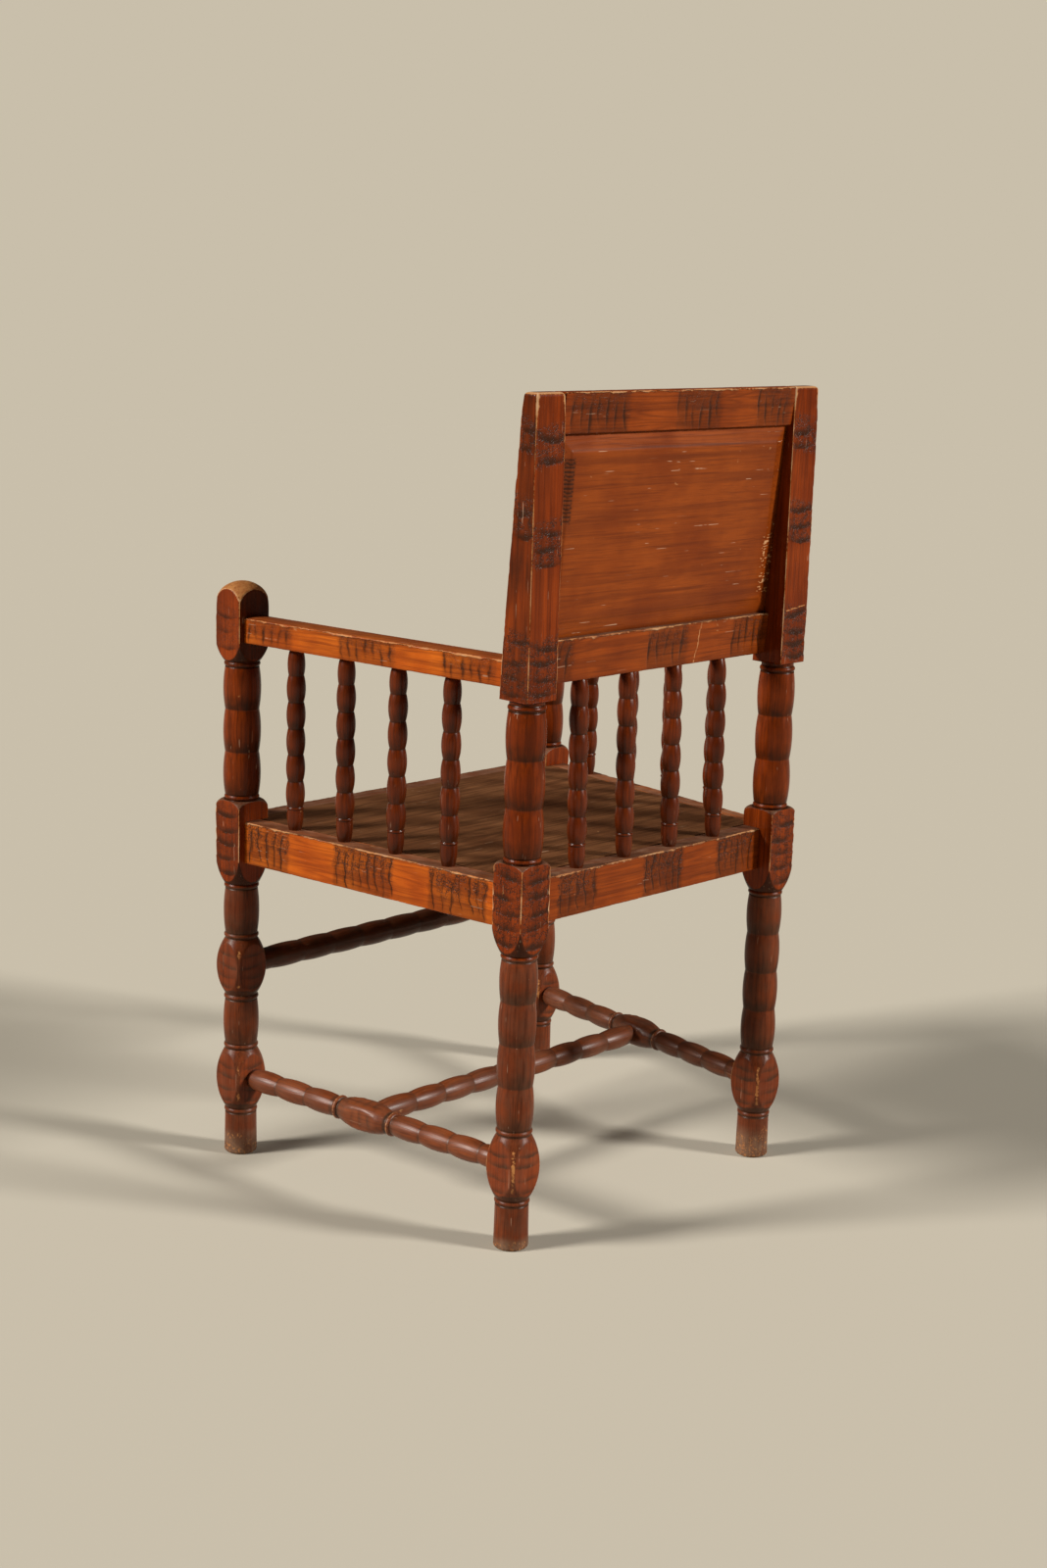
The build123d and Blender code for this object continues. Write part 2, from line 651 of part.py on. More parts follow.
def back_spindle_length():
    rise = back_spindle_top_z() - SEAT_TOP
    return math.hypot(rise, BACK_SPINDLE_FOOT_Y - BACK_SPINDLE_TOP_Y)


def back_spindle(x):
    return leaning_back(spindle(back_spindle_length(), LEAN_SPARE), x)


def back_rail(low, high):
    """Rail of the back frame between the rear posts, from low to high up the slope."""
    rail = Box(REAR_SPACING - STOCK, FRAME_THICK, high - low)
    rail = fillet(rail.edges().filter_by(Axis.X), 1.0)
    return Pos(0, -FRAME_THICK / 2, (low + high) / 2) * rail


def rail_groove(level):
    """Groove for the panel tongue along one edge of a back rail."""
    tool = Box(REAR_SPACING, PANEL_TONGUE_THICK + 2 * GLUE_GAP, 2 * GROOVE_DEPTH)
    return Pos(0, PANEL_TONGUE_REAR - PANEL_TONGUE_THICK / 2, level) * tool


def lower_back_rail():
    rail = back_rail(-LOWER_RAIL_HALF, LOWER_RAIL_HALF) - rail_groove(LOWER_RAIL_HALF)
    rail = in_back(rail)
    for x in back_spindle_places():
        rail -= leaning_back(spindle_bore(0, 0, back_spindle_length()), x)
    return drilled(rail, both_sides(left_back_dowels()))


def top_back_rail():
    rail = back_rail(TOP_RAIL_LOW, TOP_RAIL_HIGH) - rail_groove(TOP_RAIL_LOW)
    level = Pos(0, 0, BACK_TOP - FAR / 2) * Box(FAR, FAR, FAR)
    return drilled(in_back(rail) & level, both_sides(left_back_dowels()))


def back_panel():
    """Panel with a tongue all round and a bevelled field on its rear face."""
    width = REAR_SPACING - STOCK
    height = TOP_RAIL_LOW - LOWER_RAIL_HALF
    middle = (TOP_RAIL_LOW + LOWER_RAIL_HALF) / 2
    slab = Box(width + 2 * PANEL_IN_GROOVE, PANEL_TONGUE_THICK, height + 2 * PANEL_IN_GROOVE)
    slab = Pos(0, PANEL_TONGUE_REAR - PANEL_TONGUE_THICK / 2, 0) * slab
    field = Box(width - 2 * PANEL_BEVEL, 2 * FIELD_STEP, height - 2 * PANEL_BEVEL)
    field = Pos(0, PANEL_FIELD_REAR - FIELD_STEP, 0) * field
    base = rectangle_at(width, height, PANEL_TONGUE_REAR)
    crest = rectangle_at(width - 2 * PANEL_BEVEL, height - 2 * PANEL_BEVEL, PANEL_FIELD_REAR - FIELD_STEP)
    return in_back(Pos(0, 0, middle) * (slab + loft([base, crest]) + field))


def rectangle_at(width, height, y):
    """Upright rectangle at depth y."""
    half_w = width / 2
    half_h = height / 2
    corners = [(-half_w, y, -half_h), (half_w, y, -half_h), (half_w, y, half_h), (-half_w, y, half_h)]
    return make_face(Polyline(*corners, close=True))


# ---- stretchers ----
def side_stretcher():
    """Left stretcher with a square centre block, cut to the posts it enters."""
    front = FRONT_Y + HALF_STOCK
    rear = REAR_Y - HALF_STOCK
    block_low = BLOCK_CENTRE_Y - BLOCK_HALF
    block_high = BLOCK_CENTRE_Y + BLOCK_HALF
    entry = front - POST_ENTRY
    runs = [(STRETCHER_TENON_R, front - STRETCHER_TENON), (STRETCHER_TENON_R, entry)]
    runs += bellies(entry, block_low - RING_HALF, 3, STRETCHER_NECK_R, STRETCHER_BELLY_R)
    runs += ring(block_low, STRETCHER_RING_R)
    runs += between(block_low, block_high, 1, STRETCHER_NECK_R, STRETCHER_BLOCK_R)
    runs += ring(block_high, STRETCHER_RING_R)
    runs += bellies(block_high + RUN_START, rear - END_BEAD, 3, STRETCHER_NECK_R, STRETCHER_BELLY_R)
    exit_y = rear + POST_ENTRY
    runs += [(END_BEAD_R, rear - END_BEAD * 0.4, STRETCHER_NECK_R, exit_y)]
    runs += [(STRETCHER_TENON_R, exit_y), (STRETCHER_TENON_R, rear + STRETCHER_TENON)]
    runs += [(0, rear + STRETCHER_TENON)]
    bar = turned(front - STRETCHER_TENON, runs) & Box(STRETCHER_STOCK, STRETCHER_STOCK, FAR)
    bar = on_side(Rot(-90, 0, 0) * bar, 0, STRETCHER_Z)
    inner = side_x(BLOCK_CENTRE_Y) - STRETCHER_STOCK / 2
    bore_depth = CROSS_TENON + 1.5
    bore = Cylinder(CROSS_TENON_R + GLUE_GAP, 2 * bore_depth, rotation=(0, 90, 0))
    bar -= Pos(inner, BLOCK_CENTRE_Y, STRETCHER_Z) * bore
    return bar - front_post() - rear_post()


def cross_stretcher(side_piece):
    """Stretcher between the two centre blocks."""
    inner = side_x(BLOCK_CENTRE_Y) - STRETCHER_STOCK / 2
    reach = inner + BLOCK_ENTRY
    end = inner + CROSS_TENON - 1
    runs = [(CROSS_TENON_R, -end), (CROSS_TENON_R, -reach), (STRETCHER_NECK_R, -reach)]
    span = reach - CROSS_COLLAR
    runs += bellies(-span, span, 9, STRETCHER_NECK_R, STRETCHER_BELLY_R)
    runs += [(STRETCHER_NECK_R, reach), (CROSS_TENON_R, reach), (CROSS_TENON_R, end), (0, end)]
    bar = Pos(0, BLOCK_CENTRE_Y, STRETCHER_Z) * Rot(0, 90, 0) * turned(-end, runs)
    return bar - side_piece - other_side(side_piece)


def front_stretcher():
    """Plain beaded stretcher between the middle blocks of the front posts."""
    inner = FRONT_X - HALF_STOCK
    end = inner + STRETCHER_TENON
    span = inner - FRONT_COLLAR
    neck = FRONT_STRETCHER_NECK_R
    belly = FRONT_STRETCHER_BELLY_R
    runs = [(STRETCHER_TENON_R, -end), (STRETCHER_TENON_R, -inner), (neck, -inner)]
    runs += bellies(-span, span, 9, neck, belly)
    runs += [(neck, inner), (STRETCHER_TENON_R, inner), (STRETCHER_TENON_R, end), (0, end)]
    return Pos(0, FRONT_Y, FRONT_STRETCHER_Z) * Rot(0, 90, 0) * turned(-end, runs)


# ---- the chair ----
def pair(nodes, pattern, piece):
    """Add a left-hand piece and its right-hand twin."""
    nodes[pattern.format("left")] = piece
    nodes[pattern.format("right")] = other_side(piece)


def build():
    nodes = {}
    pair(nodes, "front_{}_post", front_post())
    pair(nodes, "rear_{}_post", rear_post())
    nodes["seat_rail_front"] = front_rail()
    nodes["seat_rail_rear"] = rear_rail()
    pair(nodes, "seat_rail_{}", side_rail())
    nodes["seat_board"] = seat_board()
    pair(nodes, "arm_{}", arm())
    for number, y in enumerate(arm_spindle_depths(), start=1):
        pair(nodes, "arm_spindle_{}_" + str(number), arm_spindle(y))
    nodes["back_lower_rail"] = lower_back_rail()
    for number, x in enumerate(back_spindle_places(), start=1):
        piece = back_spindle(x) - nodes["seat_rail_rear"] - nodes["back_lower_rail"]
        nodes["back_spindle_" + str(number)] = piece
    nodes["back_top_rail"] = top_back_rail()
    nodes["back_panel"] = back_panel()
    side_piece = side_stretcher()
    pair(nodes, "side_stretcher_{}", side_piece)
    nodes["cross_stretcher"] = cross_stretcher(side_piece)
    nodes["front_stretcher"] = front_stretcher()
    pair(nodes, "corner_block_front_{}", left_corner_block(front_block_corners()))
    pair(nodes, "corner_block_rear_{}", left_corner_block(rear_block_corners()))
    rail_screws = [place * screw(RAIL_SCREW) for place in left_rail_screw_places()]
    board_screws = [place * screw(BOARD_SCREW) for place in left_board_screw_places()]
    nodes["corner_block_screws"] = Compound(both_sides(rail_screws))
    nodes["seat_board_screws"] = Compound(both_sides(board_screws))
    nodes["seat_rail_dowels"] = Compound(both_sides(left_seat_dowels()))
    nodes["back_rail_dowels"] = Compound(both_sides(left_back_dowels()))
    nodes["arm_dowels"] = Compound(both_sides(left_arm_dowels()))
    return nodes


os.makedirs("parts", exist_ok=True)
for name, shape in build().items():
    export_step(shape, f"parts/{name}.step")
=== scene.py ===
import math
from functools import partial
import bpy
import numpy as np
from mathutils import Matrix, Vector


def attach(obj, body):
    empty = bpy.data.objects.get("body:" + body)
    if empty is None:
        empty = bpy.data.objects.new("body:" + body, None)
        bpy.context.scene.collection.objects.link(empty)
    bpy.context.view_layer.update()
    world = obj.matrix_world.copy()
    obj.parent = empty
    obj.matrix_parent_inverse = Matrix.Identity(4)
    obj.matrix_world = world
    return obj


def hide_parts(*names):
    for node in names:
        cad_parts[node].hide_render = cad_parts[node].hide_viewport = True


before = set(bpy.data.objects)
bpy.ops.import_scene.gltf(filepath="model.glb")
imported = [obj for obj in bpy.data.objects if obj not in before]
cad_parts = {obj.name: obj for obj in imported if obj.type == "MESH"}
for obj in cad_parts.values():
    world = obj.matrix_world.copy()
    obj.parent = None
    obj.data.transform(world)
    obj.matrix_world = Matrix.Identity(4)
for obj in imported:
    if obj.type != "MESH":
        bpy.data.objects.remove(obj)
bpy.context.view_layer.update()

# Armchair with turned posts. Metres; the front faces -Y and the sitter's left is +X.
# Every wooden piece is a fine grid swept along its own length, cut a little inside the CAD
# solid it stands for. Four values per point go with the mesh to the materials: "stain_and_shade"
# where dark stain lies in gouges and necks and where shade is painted (under swellings, on the
# lower shoulders, on the back of the front finials, on the front stretcher), "bare" where an edge
# is rubbed, "crackle" for crazed finish and "matte" for dust and dulled varnish. A fifth,
# "grain", is the point's place in its own board.

MM = 0.001
HALF = 24.0              # half the square stock of a post
FRONT_AXIS = (277.0, -226.0)     # middle of the front left post, seen from above
REAR_AXIS = (226.5, 226.0)
FINIAL_TOP = 752.0
BACK_TOP = 1010.0
SEAT_TOP = 449.5
BACK_BLOCK = 664.5       # where the square upper length of a rear post starts
LOW_BALL = (59.0, 147.0)         # the rings that bound each turned length, from the floor up
FRONT_BALL = (213.0, 295.5)
SEAT_BLOCK = (361.5, 477.5)
LOW_OVAL = (74, 134)             # where the egg-shaped blocks have their cuts
FRONT_OVAL = (226, 284)
FRONT_NECK = 648.5
REAR_NECK = 655.5
RING_R = 22.4
LEG = (20.8, 22.9)       # neck and belly radius of the turned lengths below the seat,
UPPER = (21.6, 23.9)     # of those above it
BALL = (20.4, 32.0)      # and of the egg-shaped blocks
FRONT_RINGS = LOW_BALL + FRONT_BALL + SEAT_BLOCK + (FRONT_NECK,)
REAR_RINGS = LOW_BALL + SEAT_BLOCK + (REAR_NECK,)
BACK_FRONT_Y = 203.0     # front face of the rear post's upper length, at its foot
BACK_REAR_Y = 250.0
RAIL_REACH = REAR_AXIS[1] - HALF         # half the gap between a front and a rear post
CROSS_REACH = REAR_AXIS[0] - HALF        # half the gap between the rear posts
FRONT_REACH = FRONT_AXIS[0] - HALF       # half the gap between the front posts
REAR_RAIL_Y = 213.0
RAIL_HALF = 17.0
RAIL_DEEP = 54.0
REBATE = (10.0, 14.0)    # the seat board's ledge: how far in from the middle line, and how deep
ARM_HALF = 17.5
ARM_THICK = 31.0
ARM_CROWN = 2.0
BACK_THICK = 20.0
LOWER_RAIL_HALF = 26.0
UPPER_RAIL = (262.0, 309.2, 307.5)       # bottom, top at the rear face, top at the front face
PANEL_OUT = (-2.0, -13.0)
PANEL_RISE = (22.0, 266.0)
BEVEL = 20.0             # width of the panel's bevel
BEVEL_DROP = 4.2
FIELD_STEP = 0.8
ARM_UNDER = 677.7        # underside of the arms
GOUGE_PITCH = 13.5
STRETCHER_NECK = 12.6
STRETCHER_BELLY = 14.8
STRETCHER_BLOCK = 17.0   # half the square of the side stretchers' blocks
STRETCHER_BLOCK_LONG = 44.5
STRETCHER_Z = 104.0
STRETCHER_MIDDLE_Y = -6.0
FRONT_STRETCHER_Z = 254.0
LOWER_RAIL_Y = 224.0     # middle of the lower back rail's rear face
LOWER_RAIL_Z = 702.0
SPINDLE_PITCH = 83.0
BACK_SPINDLE_PITCH = 83.3
SIDE_SLOPE = (FRONT_AXIS[0] - REAR_AXIS[0]) / (REAR_AXIS[1] - FRONT_AXIS[1])
SIDE_ANGLE = math.atan(SIDE_SLOPE)
FRAME_RAKE = math.radians(4.8)
POST_RAKE = math.tan(math.radians(4.0))
RING_HALF = 3.4          # half the height of a ring
RUN_START = 3.6          # how far from a ring's middle the next curve starts
JOINT = 0.6              # how far a rail runs into the post it meets
INSIDE = 0.15            # skin kept inside the CAD surface
TOP_ROUND = 4.5          # worn rounding round the top of a rear post
SIDES = (("left", False), ("right", True))       # with whether that side is the mirrored one


# ---- noise ----
def smooth(t):
    t = np.clip(t, 0.0, 1.0)
    return t * t * (3.0 - 2.0 * t)


def bell(t):
    """1 at 0, falling away evenly on both sides."""
    return np.exp(-t ** 2)


def noise1(x, seed):
    table = np.random.RandomState(seed).rand(512)
    i = np.floor(x).astype(int)
    f = smooth(x - i)
    return table[i % 512] * (1 - f) + table[(i + 1) % 512] * f


def noise2(x, y, seed):
    table = np.random.RandomState(seed).rand(128, 128)
    i, j = np.floor(x).astype(int), np.floor(y).astype(int)
    f, g = smooth(x - i), smooth(y - j)
    low = table[i % 128, j % 128] * (1 - f) + table[(i + 1) % 128, j % 128] * f
    high = table[i % 128, (j + 1) % 128] * (1 - f) + table[(i + 1) % 128, (j + 1) % 128] * f
    return low * (1 - g) + high * g


# ---- gouged decoration ----
def scallops(a, b, zones, pitch, bow, seed):
    """Rows of curved gouge cuts along a (mm), each across b (-1 to 1). Returns depth and stain, 0 to 1."""
    depth = np.zeros_like(a)
    stain_and_shade = np.zeros_like(a)
    rs = np.random.RandomState(seed)
    for low, high in zones:
        at = low + pitch * 0.4
        while at < high:
            width = pitch * rs.uniform(0.8, 1.2)
            power, shift, lean = rs.uniform(0.65, 1.0), rs.uniform(-0.35, 0.35), rs.uniform(-2.5, 2.5)
            wobble = 3.4 * (noise1(b * 2.6 + 40 * rs.rand(), seed + 7) - 0.5)
            t = a - (at + bow * (b - shift) ** 2 + lean * b + wobble)
            cut = np.where(t < 0, bell(t / 2.3), bell(t / (width * 0.5)))
            reach = 1 - smooth((np.abs(b - shift * 0.5) - 0.65) / 0.45)
            depth = np.maximum(depth, power * cut * (0.3 + 0.7 * reach))
            crease = np.where(t < 0, bell(t / 0.9), bell(t / 1.8)) * reach
            lens_at = shift + rs.uniform(-0.25, 0.25)
            lens = np.exp(-((t - width * 0.2) / (width * 0.27)) ** 2 - ((b - lens_at) / 0.62) ** 2)
            stain_and_shade = np.maximum(stain_and_shade, np.maximum(power * crease, 0.62 * rs.uniform(0.5, 1.1) * lens))
            at += width
    return depth, stain_and_shade


def scales(a, b, zones, pitch, sag, seed):
    """Stacked gouge cuts like fish scales, each deeper and darker toward its crisp sagging lower edge."""
    depth, stain_and_shade = np.zeros_like(a), np.zeros_like(a)
    rs = np.random.RandomState(seed)
    for low, high in zones:
        count = max(1, round((high - low) / pitch))
        step = (high - low) / count
        for n in range(count):
            at = low + (n + rs.uniform(-0.14, 0.14)) * step
            width = step * rs.uniform(0.9, 1.15)
            power, shift, lean = rs.uniform(0.7, 1.0), rs.uniform(-0.25, 0.25), rs.uniform(-2.2, 2.2)
            wobble = 2.0 * (noise1(b * 2.3 + 40 * rs.rand(), seed + 7) - 0.5)
            above = a - (at + sag * (b - shift) ** 2 + lean * b + wobble)
            inside = smooth(above / 1.6 + 0.3) * (above < width * 1.2)
            fall = np.clip(1 - above / width, 0, 1)
            lens = bell((b - shift - rs.uniform(-0.2, 0.2)) / 0.8)
            depth = np.maximum(depth, power * inside * fall ** 1.2 * (0.45 + 0.55 * lens))
            stain_and_shade = np.maximum(stain_and_shade, power * inside * smooth(fall * 1.3 - 0.3) * (0.3 + 0.62 * lens))
    return depth, stain_and_shade


def zone_mask(a, zones, soft):
    mask = np.zeros_like(a)
    for low, high in zones:
        mask = np.maximum(mask, smooth((a - low) / soft + 0.5) * smooth((high - a) / soft + 0.5))
    return mask


# ---- mesh making ----
def new_object(name, data):
    made = bpy.data.objects.new(name, data)
    bpy.context.scene.collection.objects.link(made)
    return made


def grid_object(name, points, values, material, grain, replaced):
    """Closed skin over a grid of points (stations, round, xyz in mm), with fans over both ends."""
    rows, cols = points.shape[:2]
    verts = np.concatenate([points.reshape(-1, 3), points[0].mean(0)[None], points[-1].mean(0)[None]])
    i = np.arange(rows - 1)[:, None] * cols
    j = np.arange(cols)[None, :]
    k = (j + 1) % cols
    quads = np.stack([i + j, i + k, i + cols + k, i + cols + j], -1).reshape(-1, 4)
    first, last = rows * cols, rows * cols + 1
    end = (rows - 1) * cols
    ring, ring_next = np.arange(cols), (np.arange(cols) + 1) % cols
    low = np.stack([ring_next, ring, np.full(cols, first)], -1)
    high = np.stack([end + ring, end + ring_next, np.full(cols, last)], -1)
    tris = np.concatenate([low, high])
    corners = [verts[quads[:, n]] for n in range(4)]
    turned_over = np.cross(corners[1], corners[2]) + np.cross(corners[2], corners[3])
    volume = np.einsum("ij,ij->", corners[0], turned_over)
    if volume < 0:
        quads, tris = quads[:, ::-1], tris[:, ::-1]
    mesh = bpy.data.meshes.new(name)
    mesh.vertices.add(len(verts))
    mesh.vertices.foreach_set("co", (verts * MM).astype(np.float32).ravel())
    mesh.loops.add(quads.size + tris.size)
    mesh.loops.foreach_set("vertex_index", np.concatenate([quads.ravel(), tris.ravel()]).astype(np.int32))
    mesh.polygons.add(len(quads) + len(tris))
    starts = np.concatenate([np.arange(len(quads)) * 4, quads.size + np.arange(len(tris)) * 3])
    mesh.polygons.foreach_set("loop_start", starts.astype(np.int32))
    mesh.polygons.foreach_set("use_smooth", np.ones(len(starts), bool))
    mesh.update(calc_edges=True)
    mesh.validate()
    for key, data in values.items():
        flat = np.concatenate([data.ravel(), [data[0].mean(), data[-1].mean()]])
        mesh.attributes.new(key, "FLOAT", "POINT").data.foreach_set("value", flat.astype(np.float32))
    local = np.concatenate([grain.reshape(-1, 3), grain[0].mean(0)[None], grain[-1].mean(0)[None]])
    held = mesh.attributes.new("grain", "FLOAT_VECTOR", "POINT")
    held.data.foreach_set("vector", (local * MM).astype(np.float32).ravel())
    mesh.materials.append(material)
    piece = new_object(name, mesh)
    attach(piece, "root")
    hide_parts(*replaced)
    return piece


# ---- turned outlines: lists of (z, r) in mm ----
def arc(start, through, end, step):
    """Points along the arc through three (z, r) points, without the first."""
    (ax, ay), (bx, by), (cx, cy) = start, through, end
    d = 2 * (ax * (by - cy) + bx * (cy - ay) + cx * (ay - by))
    if abs(d) < 1e-6:
        return line(start, end, step)
    a2, b2, c2 = ax * ax + ay * ay, bx * bx + by * by, cx * cx + cy * cy
    ox = (a2 * (by - cy) + b2 * (cy - ay) + c2 * (ay - by)) / d
    oy = (a2 * (cx - bx) + b2 * (ax - cx) + c2 * (bx - ax)) / d
    radius = math.hypot(ax - ox, ay - oy)
    first = math.atan2(ay - oy, ax - ox)
    swing = math.atan2(cy - oy, cx - ox) - first
    middle = math.atan2(by - oy, bx - ox) - first
    swing = (swing + math.pi) % (2 * math.pi) - math.pi
    if ((middle + math.pi) % (2 * math.pi) - math.pi) * swing < 0:
        swing += math.copysign(2 * math.pi, -swing)
    count = max(4, int(abs(swing) * radius / step))
    turn = [first + swing * n / count for n in range(1, count + 1)]
    return [(ox + radius * math.cos(t), oy + radius * math.sin(t)) for t in turn]


def line(start, end, step):
    count = max(1, int(math.dist(start, end) / step))
    return [(start[0] + (end[0] - start[0]) * n / count, start[1] + (end[1] - start[1]) * n / count)
            for n in range(1, count + 1)]


def outline(start, runs, step):
    """Dense outline from runs of (r, z) cuts and (mid r, mid z, r, z) curves."""
    here = (start[1], start[0])
    points = [here]
    for run in runs:
        there = (run[-1], run[-2])
        if len(run) == 2:
            points += line(here, there, step)
        else:
            points += arc(here, (run[1], run[0]), there, step)
        here = there
    return np.array(points)


def ring(z, r):
    """A bead with a quirk on each side."""
    low = [(r - 2.0, z - RING_HALF), (r - 1.0, z - 2.4)]
    return low + [(r, z, r - 1.0, z + 2.4), (r - 2.0, z + RING_HALF)]


def bellies(low, high, count, neck, belly):
    """Equal swellings of one radius between necks of another."""
    step = (high - low) / count
    runs = [(neck, low)]
    for n in range(count):
        base = low + n * step
        runs.append((belly, base + step / 2, neck, base + step))
    return runs


def between(low, high, count, neck, belly):
    """Swellings that fill the length between two rings."""
    return bellies(low + RUN_START, high - RUN_START, count, neck, belly)


CORNER_R = HALF * math.sqrt(2) + 0.1


def foot_runs():
    low, high = LOW_BALL
    runs = [(20.3, 1.2, 21.2, 5.0), (20.6, low - RUN_START)] + ring(low, 21.6)
    return runs + between(low, high, 1, *BALL) + ring(high, RING_R)


def seat_block_runs(top_round):
    low, high = SEAT_BLOCK[0] + RUN_START, SEAT_BLOCK[1] - RUN_START
    runs = [(RING_R, low), (31.04, low + 20, CORNER_R, low + 36), (CORNER_R, high - top_round)]
    runs += [(30.94, high - top_round * 0.3, RING_R, high)]
    return ring(SEAT_BLOCK[0], RING_R) + runs + ring(SEAT_BLOCK[1], RING_R)


def front_outline():
    runs = foot_runs() + between(LOW_BALL[1], FRONT_BALL[0], 1, *LEG) + ring(FRONT_BALL[0], RING_R)
    runs += between(*FRONT_BALL, 1, *BALL) + ring(FRONT_BALL[1], RING_R)
    runs += between(FRONT_BALL[1], SEAT_BLOCK[0], 1, *LEG) + seat_block_runs(14.0)
    runs += between(SEAT_BLOCK[1], FRONT_NECK, 3, *UPPER) + ring(FRONT_NECK, 23.0)
    low = FRONT_NECK + RUN_START
    runs += [(22.8, low), (30.54, low + 13, CORNER_R, low + 24), (CORNER_R, FINIAL_TOP - 33)]
    runs += [(31.5, FINIAL_TOP - 19, 24.6, FINIAL_TOP - 9)]
    radius = (24.6 ** 2 + 81) / 18
    middle = math.asin(24.6 / radius) / 2
    crown = (radius * math.sin(middle), FINIAL_TOP - radius * (1 - math.cos(middle)), 0.6, FINIAL_TOP - 0.02)
    return outline((18.2, 0.0), runs + [crown], 1.5)


def rear_outline():
    runs = foot_runs() + between(LOW_BALL[1], SEAT_BLOCK[0], 4, *LEG) + seat_block_runs(6.0)
    runs += between(SEAT_BLOCK[1], REAR_NECK, 3, *UPPER) + ring(REAR_NECK, 22.8)
    runs += [(20.8, BACK_BLOCK), (CORNER_R, BACK_BLOCK), (CORNER_R, BACK_TOP - 3)]
    shape = outline((18.2, 0.0), runs, 1.8)
    crown = [(BACK_TOP - 3 + rise, CORNER_R) for rise in (0.6, 1.2, 1.8, 2.3, 2.65, 2.88, 3.0)]
    return np.concatenate([shape, crown])


# ---- posts ----
def round_positions(count_flat, count_corner):
    """Directions round a square section, closer together at the corners."""
    near = 3.2 / HALF
    side = np.concatenate([
        np.linspace(-1, -1 + near, count_corner, endpoint=False),
        np.linspace(-1 + near, 1 - near, count_flat, endpoint=False),
        np.linspace(1 - near, 1, count_corner, endpoint=False)])
    angles = np.arctan(side)
    return np.concatenate([angles + n * math.pi / 2 for n in range(4)])


def from_face(theta):
    """Angle from the middle of the nearest face of a square section."""
    return (theta + math.pi / 4) % (math.pi / 2) - math.pi / 4


def mirrored(points, values):
    """The same skin on the other side of the chair."""
    return (points * [-1, 1, 1])[:, ::-1], {key: data[:, ::-1] for key, data in values.items()}


def rect_radius(theta, hx, hy, corner):
    """Distance from the middle of a rectangle with rounded corners to its edge."""
    cx, cy = np.abs(np.cos(theta)) + 1e-9, np.abs(np.sin(theta)) + 1e-9
    flat = np.minimum(hx / cx, hy / cy)
    kx, ky = hx - corner, hy - corner
    along = cx * kx + cy * ky
    disc = along ** 2 - kx ** 2 - ky ** 2 + corner ** 2
    arc_r = along + np.sqrt(np.maximum(disc, 0.0))
    in_corner = (flat * cx > kx) & (flat * cy > ky)
    return np.where(in_corner & (disc > 0), np.minimum(arc_r, flat), flat)


def neck_stain(z, r, reach, full):
    """How far each point of an outline lies below both its sides, 0 to 1."""
    stain_and_shade = np.zeros_like(r)
    for n in range(len(z)):
        below = (z <= z[n]) & (z > z[n] - reach)
        above = (z >= z[n]) & (z < z[n] + reach)
        stain_and_shade[n] = np.clip((min(r[below].max(), r[above].max()) - r[n]) / full, 0, 1)
    return stain_and_shade


def post_chips(z, corner_id, seed):
    """How far each arris of a post is worn back, in mm, all along it."""
    chip = np.zeros(corner_id.shape)
    for n in range(4):
        rough = noise1(z / 21.0, seed + n) ** 2 * 1.5 + noise1(z / 5.0, seed + 10 + n) ** 3 * 1.3
        chip = np.where(corner_id == n, rough[:, None], chip)
    return 0.9 + chip


def post_gouges(zz, across, quarter, zones, seed, rear):
    """Depth, stain and crazing of the gouge cuts on a post's four faces and on its egg-shaped blocks, with
    painted shade on the back face of a front post's finial.
    """
    depth, stain_and_shade, crackle = np.zeros_like(zz), np.zeros_like(zz), np.zeros_like(zz)
    for face in range(4):
        cut, dark = scales(zz, across, zones[face], 19.5, 4.5, seed + 50 + face)
        if rear:
            cut = cut * np.where(zz > BACK_BLOCK, 0.55, 1.0)
            dark = dark * np.where(zz > BACK_BLOCK, 1.15, 1.0)
        else:
            dark, cut = dark * np.where(zz > 600, 0.75, 1.0), cut * np.where(zz > 600, 0.4, 1.0)
            # painted shade: the back (+Y) face of a front post's finial is darkened where the chair's back
            # shades it
            dark = np.maximum(dark, 0.5 * ((zz > 655) & (face == 1)))
        here = quarter == face
        region = zone_mask(zz + 4 * across, zones[face], 8.0)
        depth = np.where(here, cut, depth)
        stain_and_shade = np.where(here, np.maximum(dark, 0.2 * region), stain_and_shade)
        crackle = np.where(here, (0.95 if rear else 0.4) * region, crackle)
    grime = np.where(rear & (quarter == 0) & (zz > BACK_BLOCK), 0.4, 0.06)
    stain_and_shade = np.maximum(stain_and_shade, grime * (0.6 + 0.8 * noise2(across * 3 + 7, zz / 30, seed + 81)))
    ovals = [LOW_OVAL] if rear else [LOW_OVAL, FRONT_OVAL]
    cut, dark = scales(zz, across, ovals, 15.0, 4.0, seed + 61)
    return np.maximum(depth, 0.3 * cut), np.maximum(stain_and_shade, 0.8 * dark), crackle


def ring_stain_and_shade(z, r, levels):
    """Stain gathered in the necks of a turned outline and beside its rings, an even darkening that is
    stronger below the seat block, and painted shade on the lower half of each belly, where it faces down.
    """
    necks = 0.5 * neck_stain(z, r, 6.0, 2.0)
    for level in levels:
        necks = np.maximum(necks, 0.95 * bell((np.abs(z - level) - 3.6) / 0.8))
        necks = np.maximum(necks, 0.34 * bell((z - level) / 8.0))
    rise = np.gradient(r) / np.maximum(np.gradient(z), 0.05)
    # painted shade: where the outline widens upward the surface faces down and is darkened as if shaded
    tone_and_under_shade = np.where(z < SEAT_BLOCK[0], 0.34, 0.26) + 0.34 * smooth(np.clip(rise * 6, 0, 1)) * (r < 25)
    return np.maximum(necks, tone_and_under_shade)


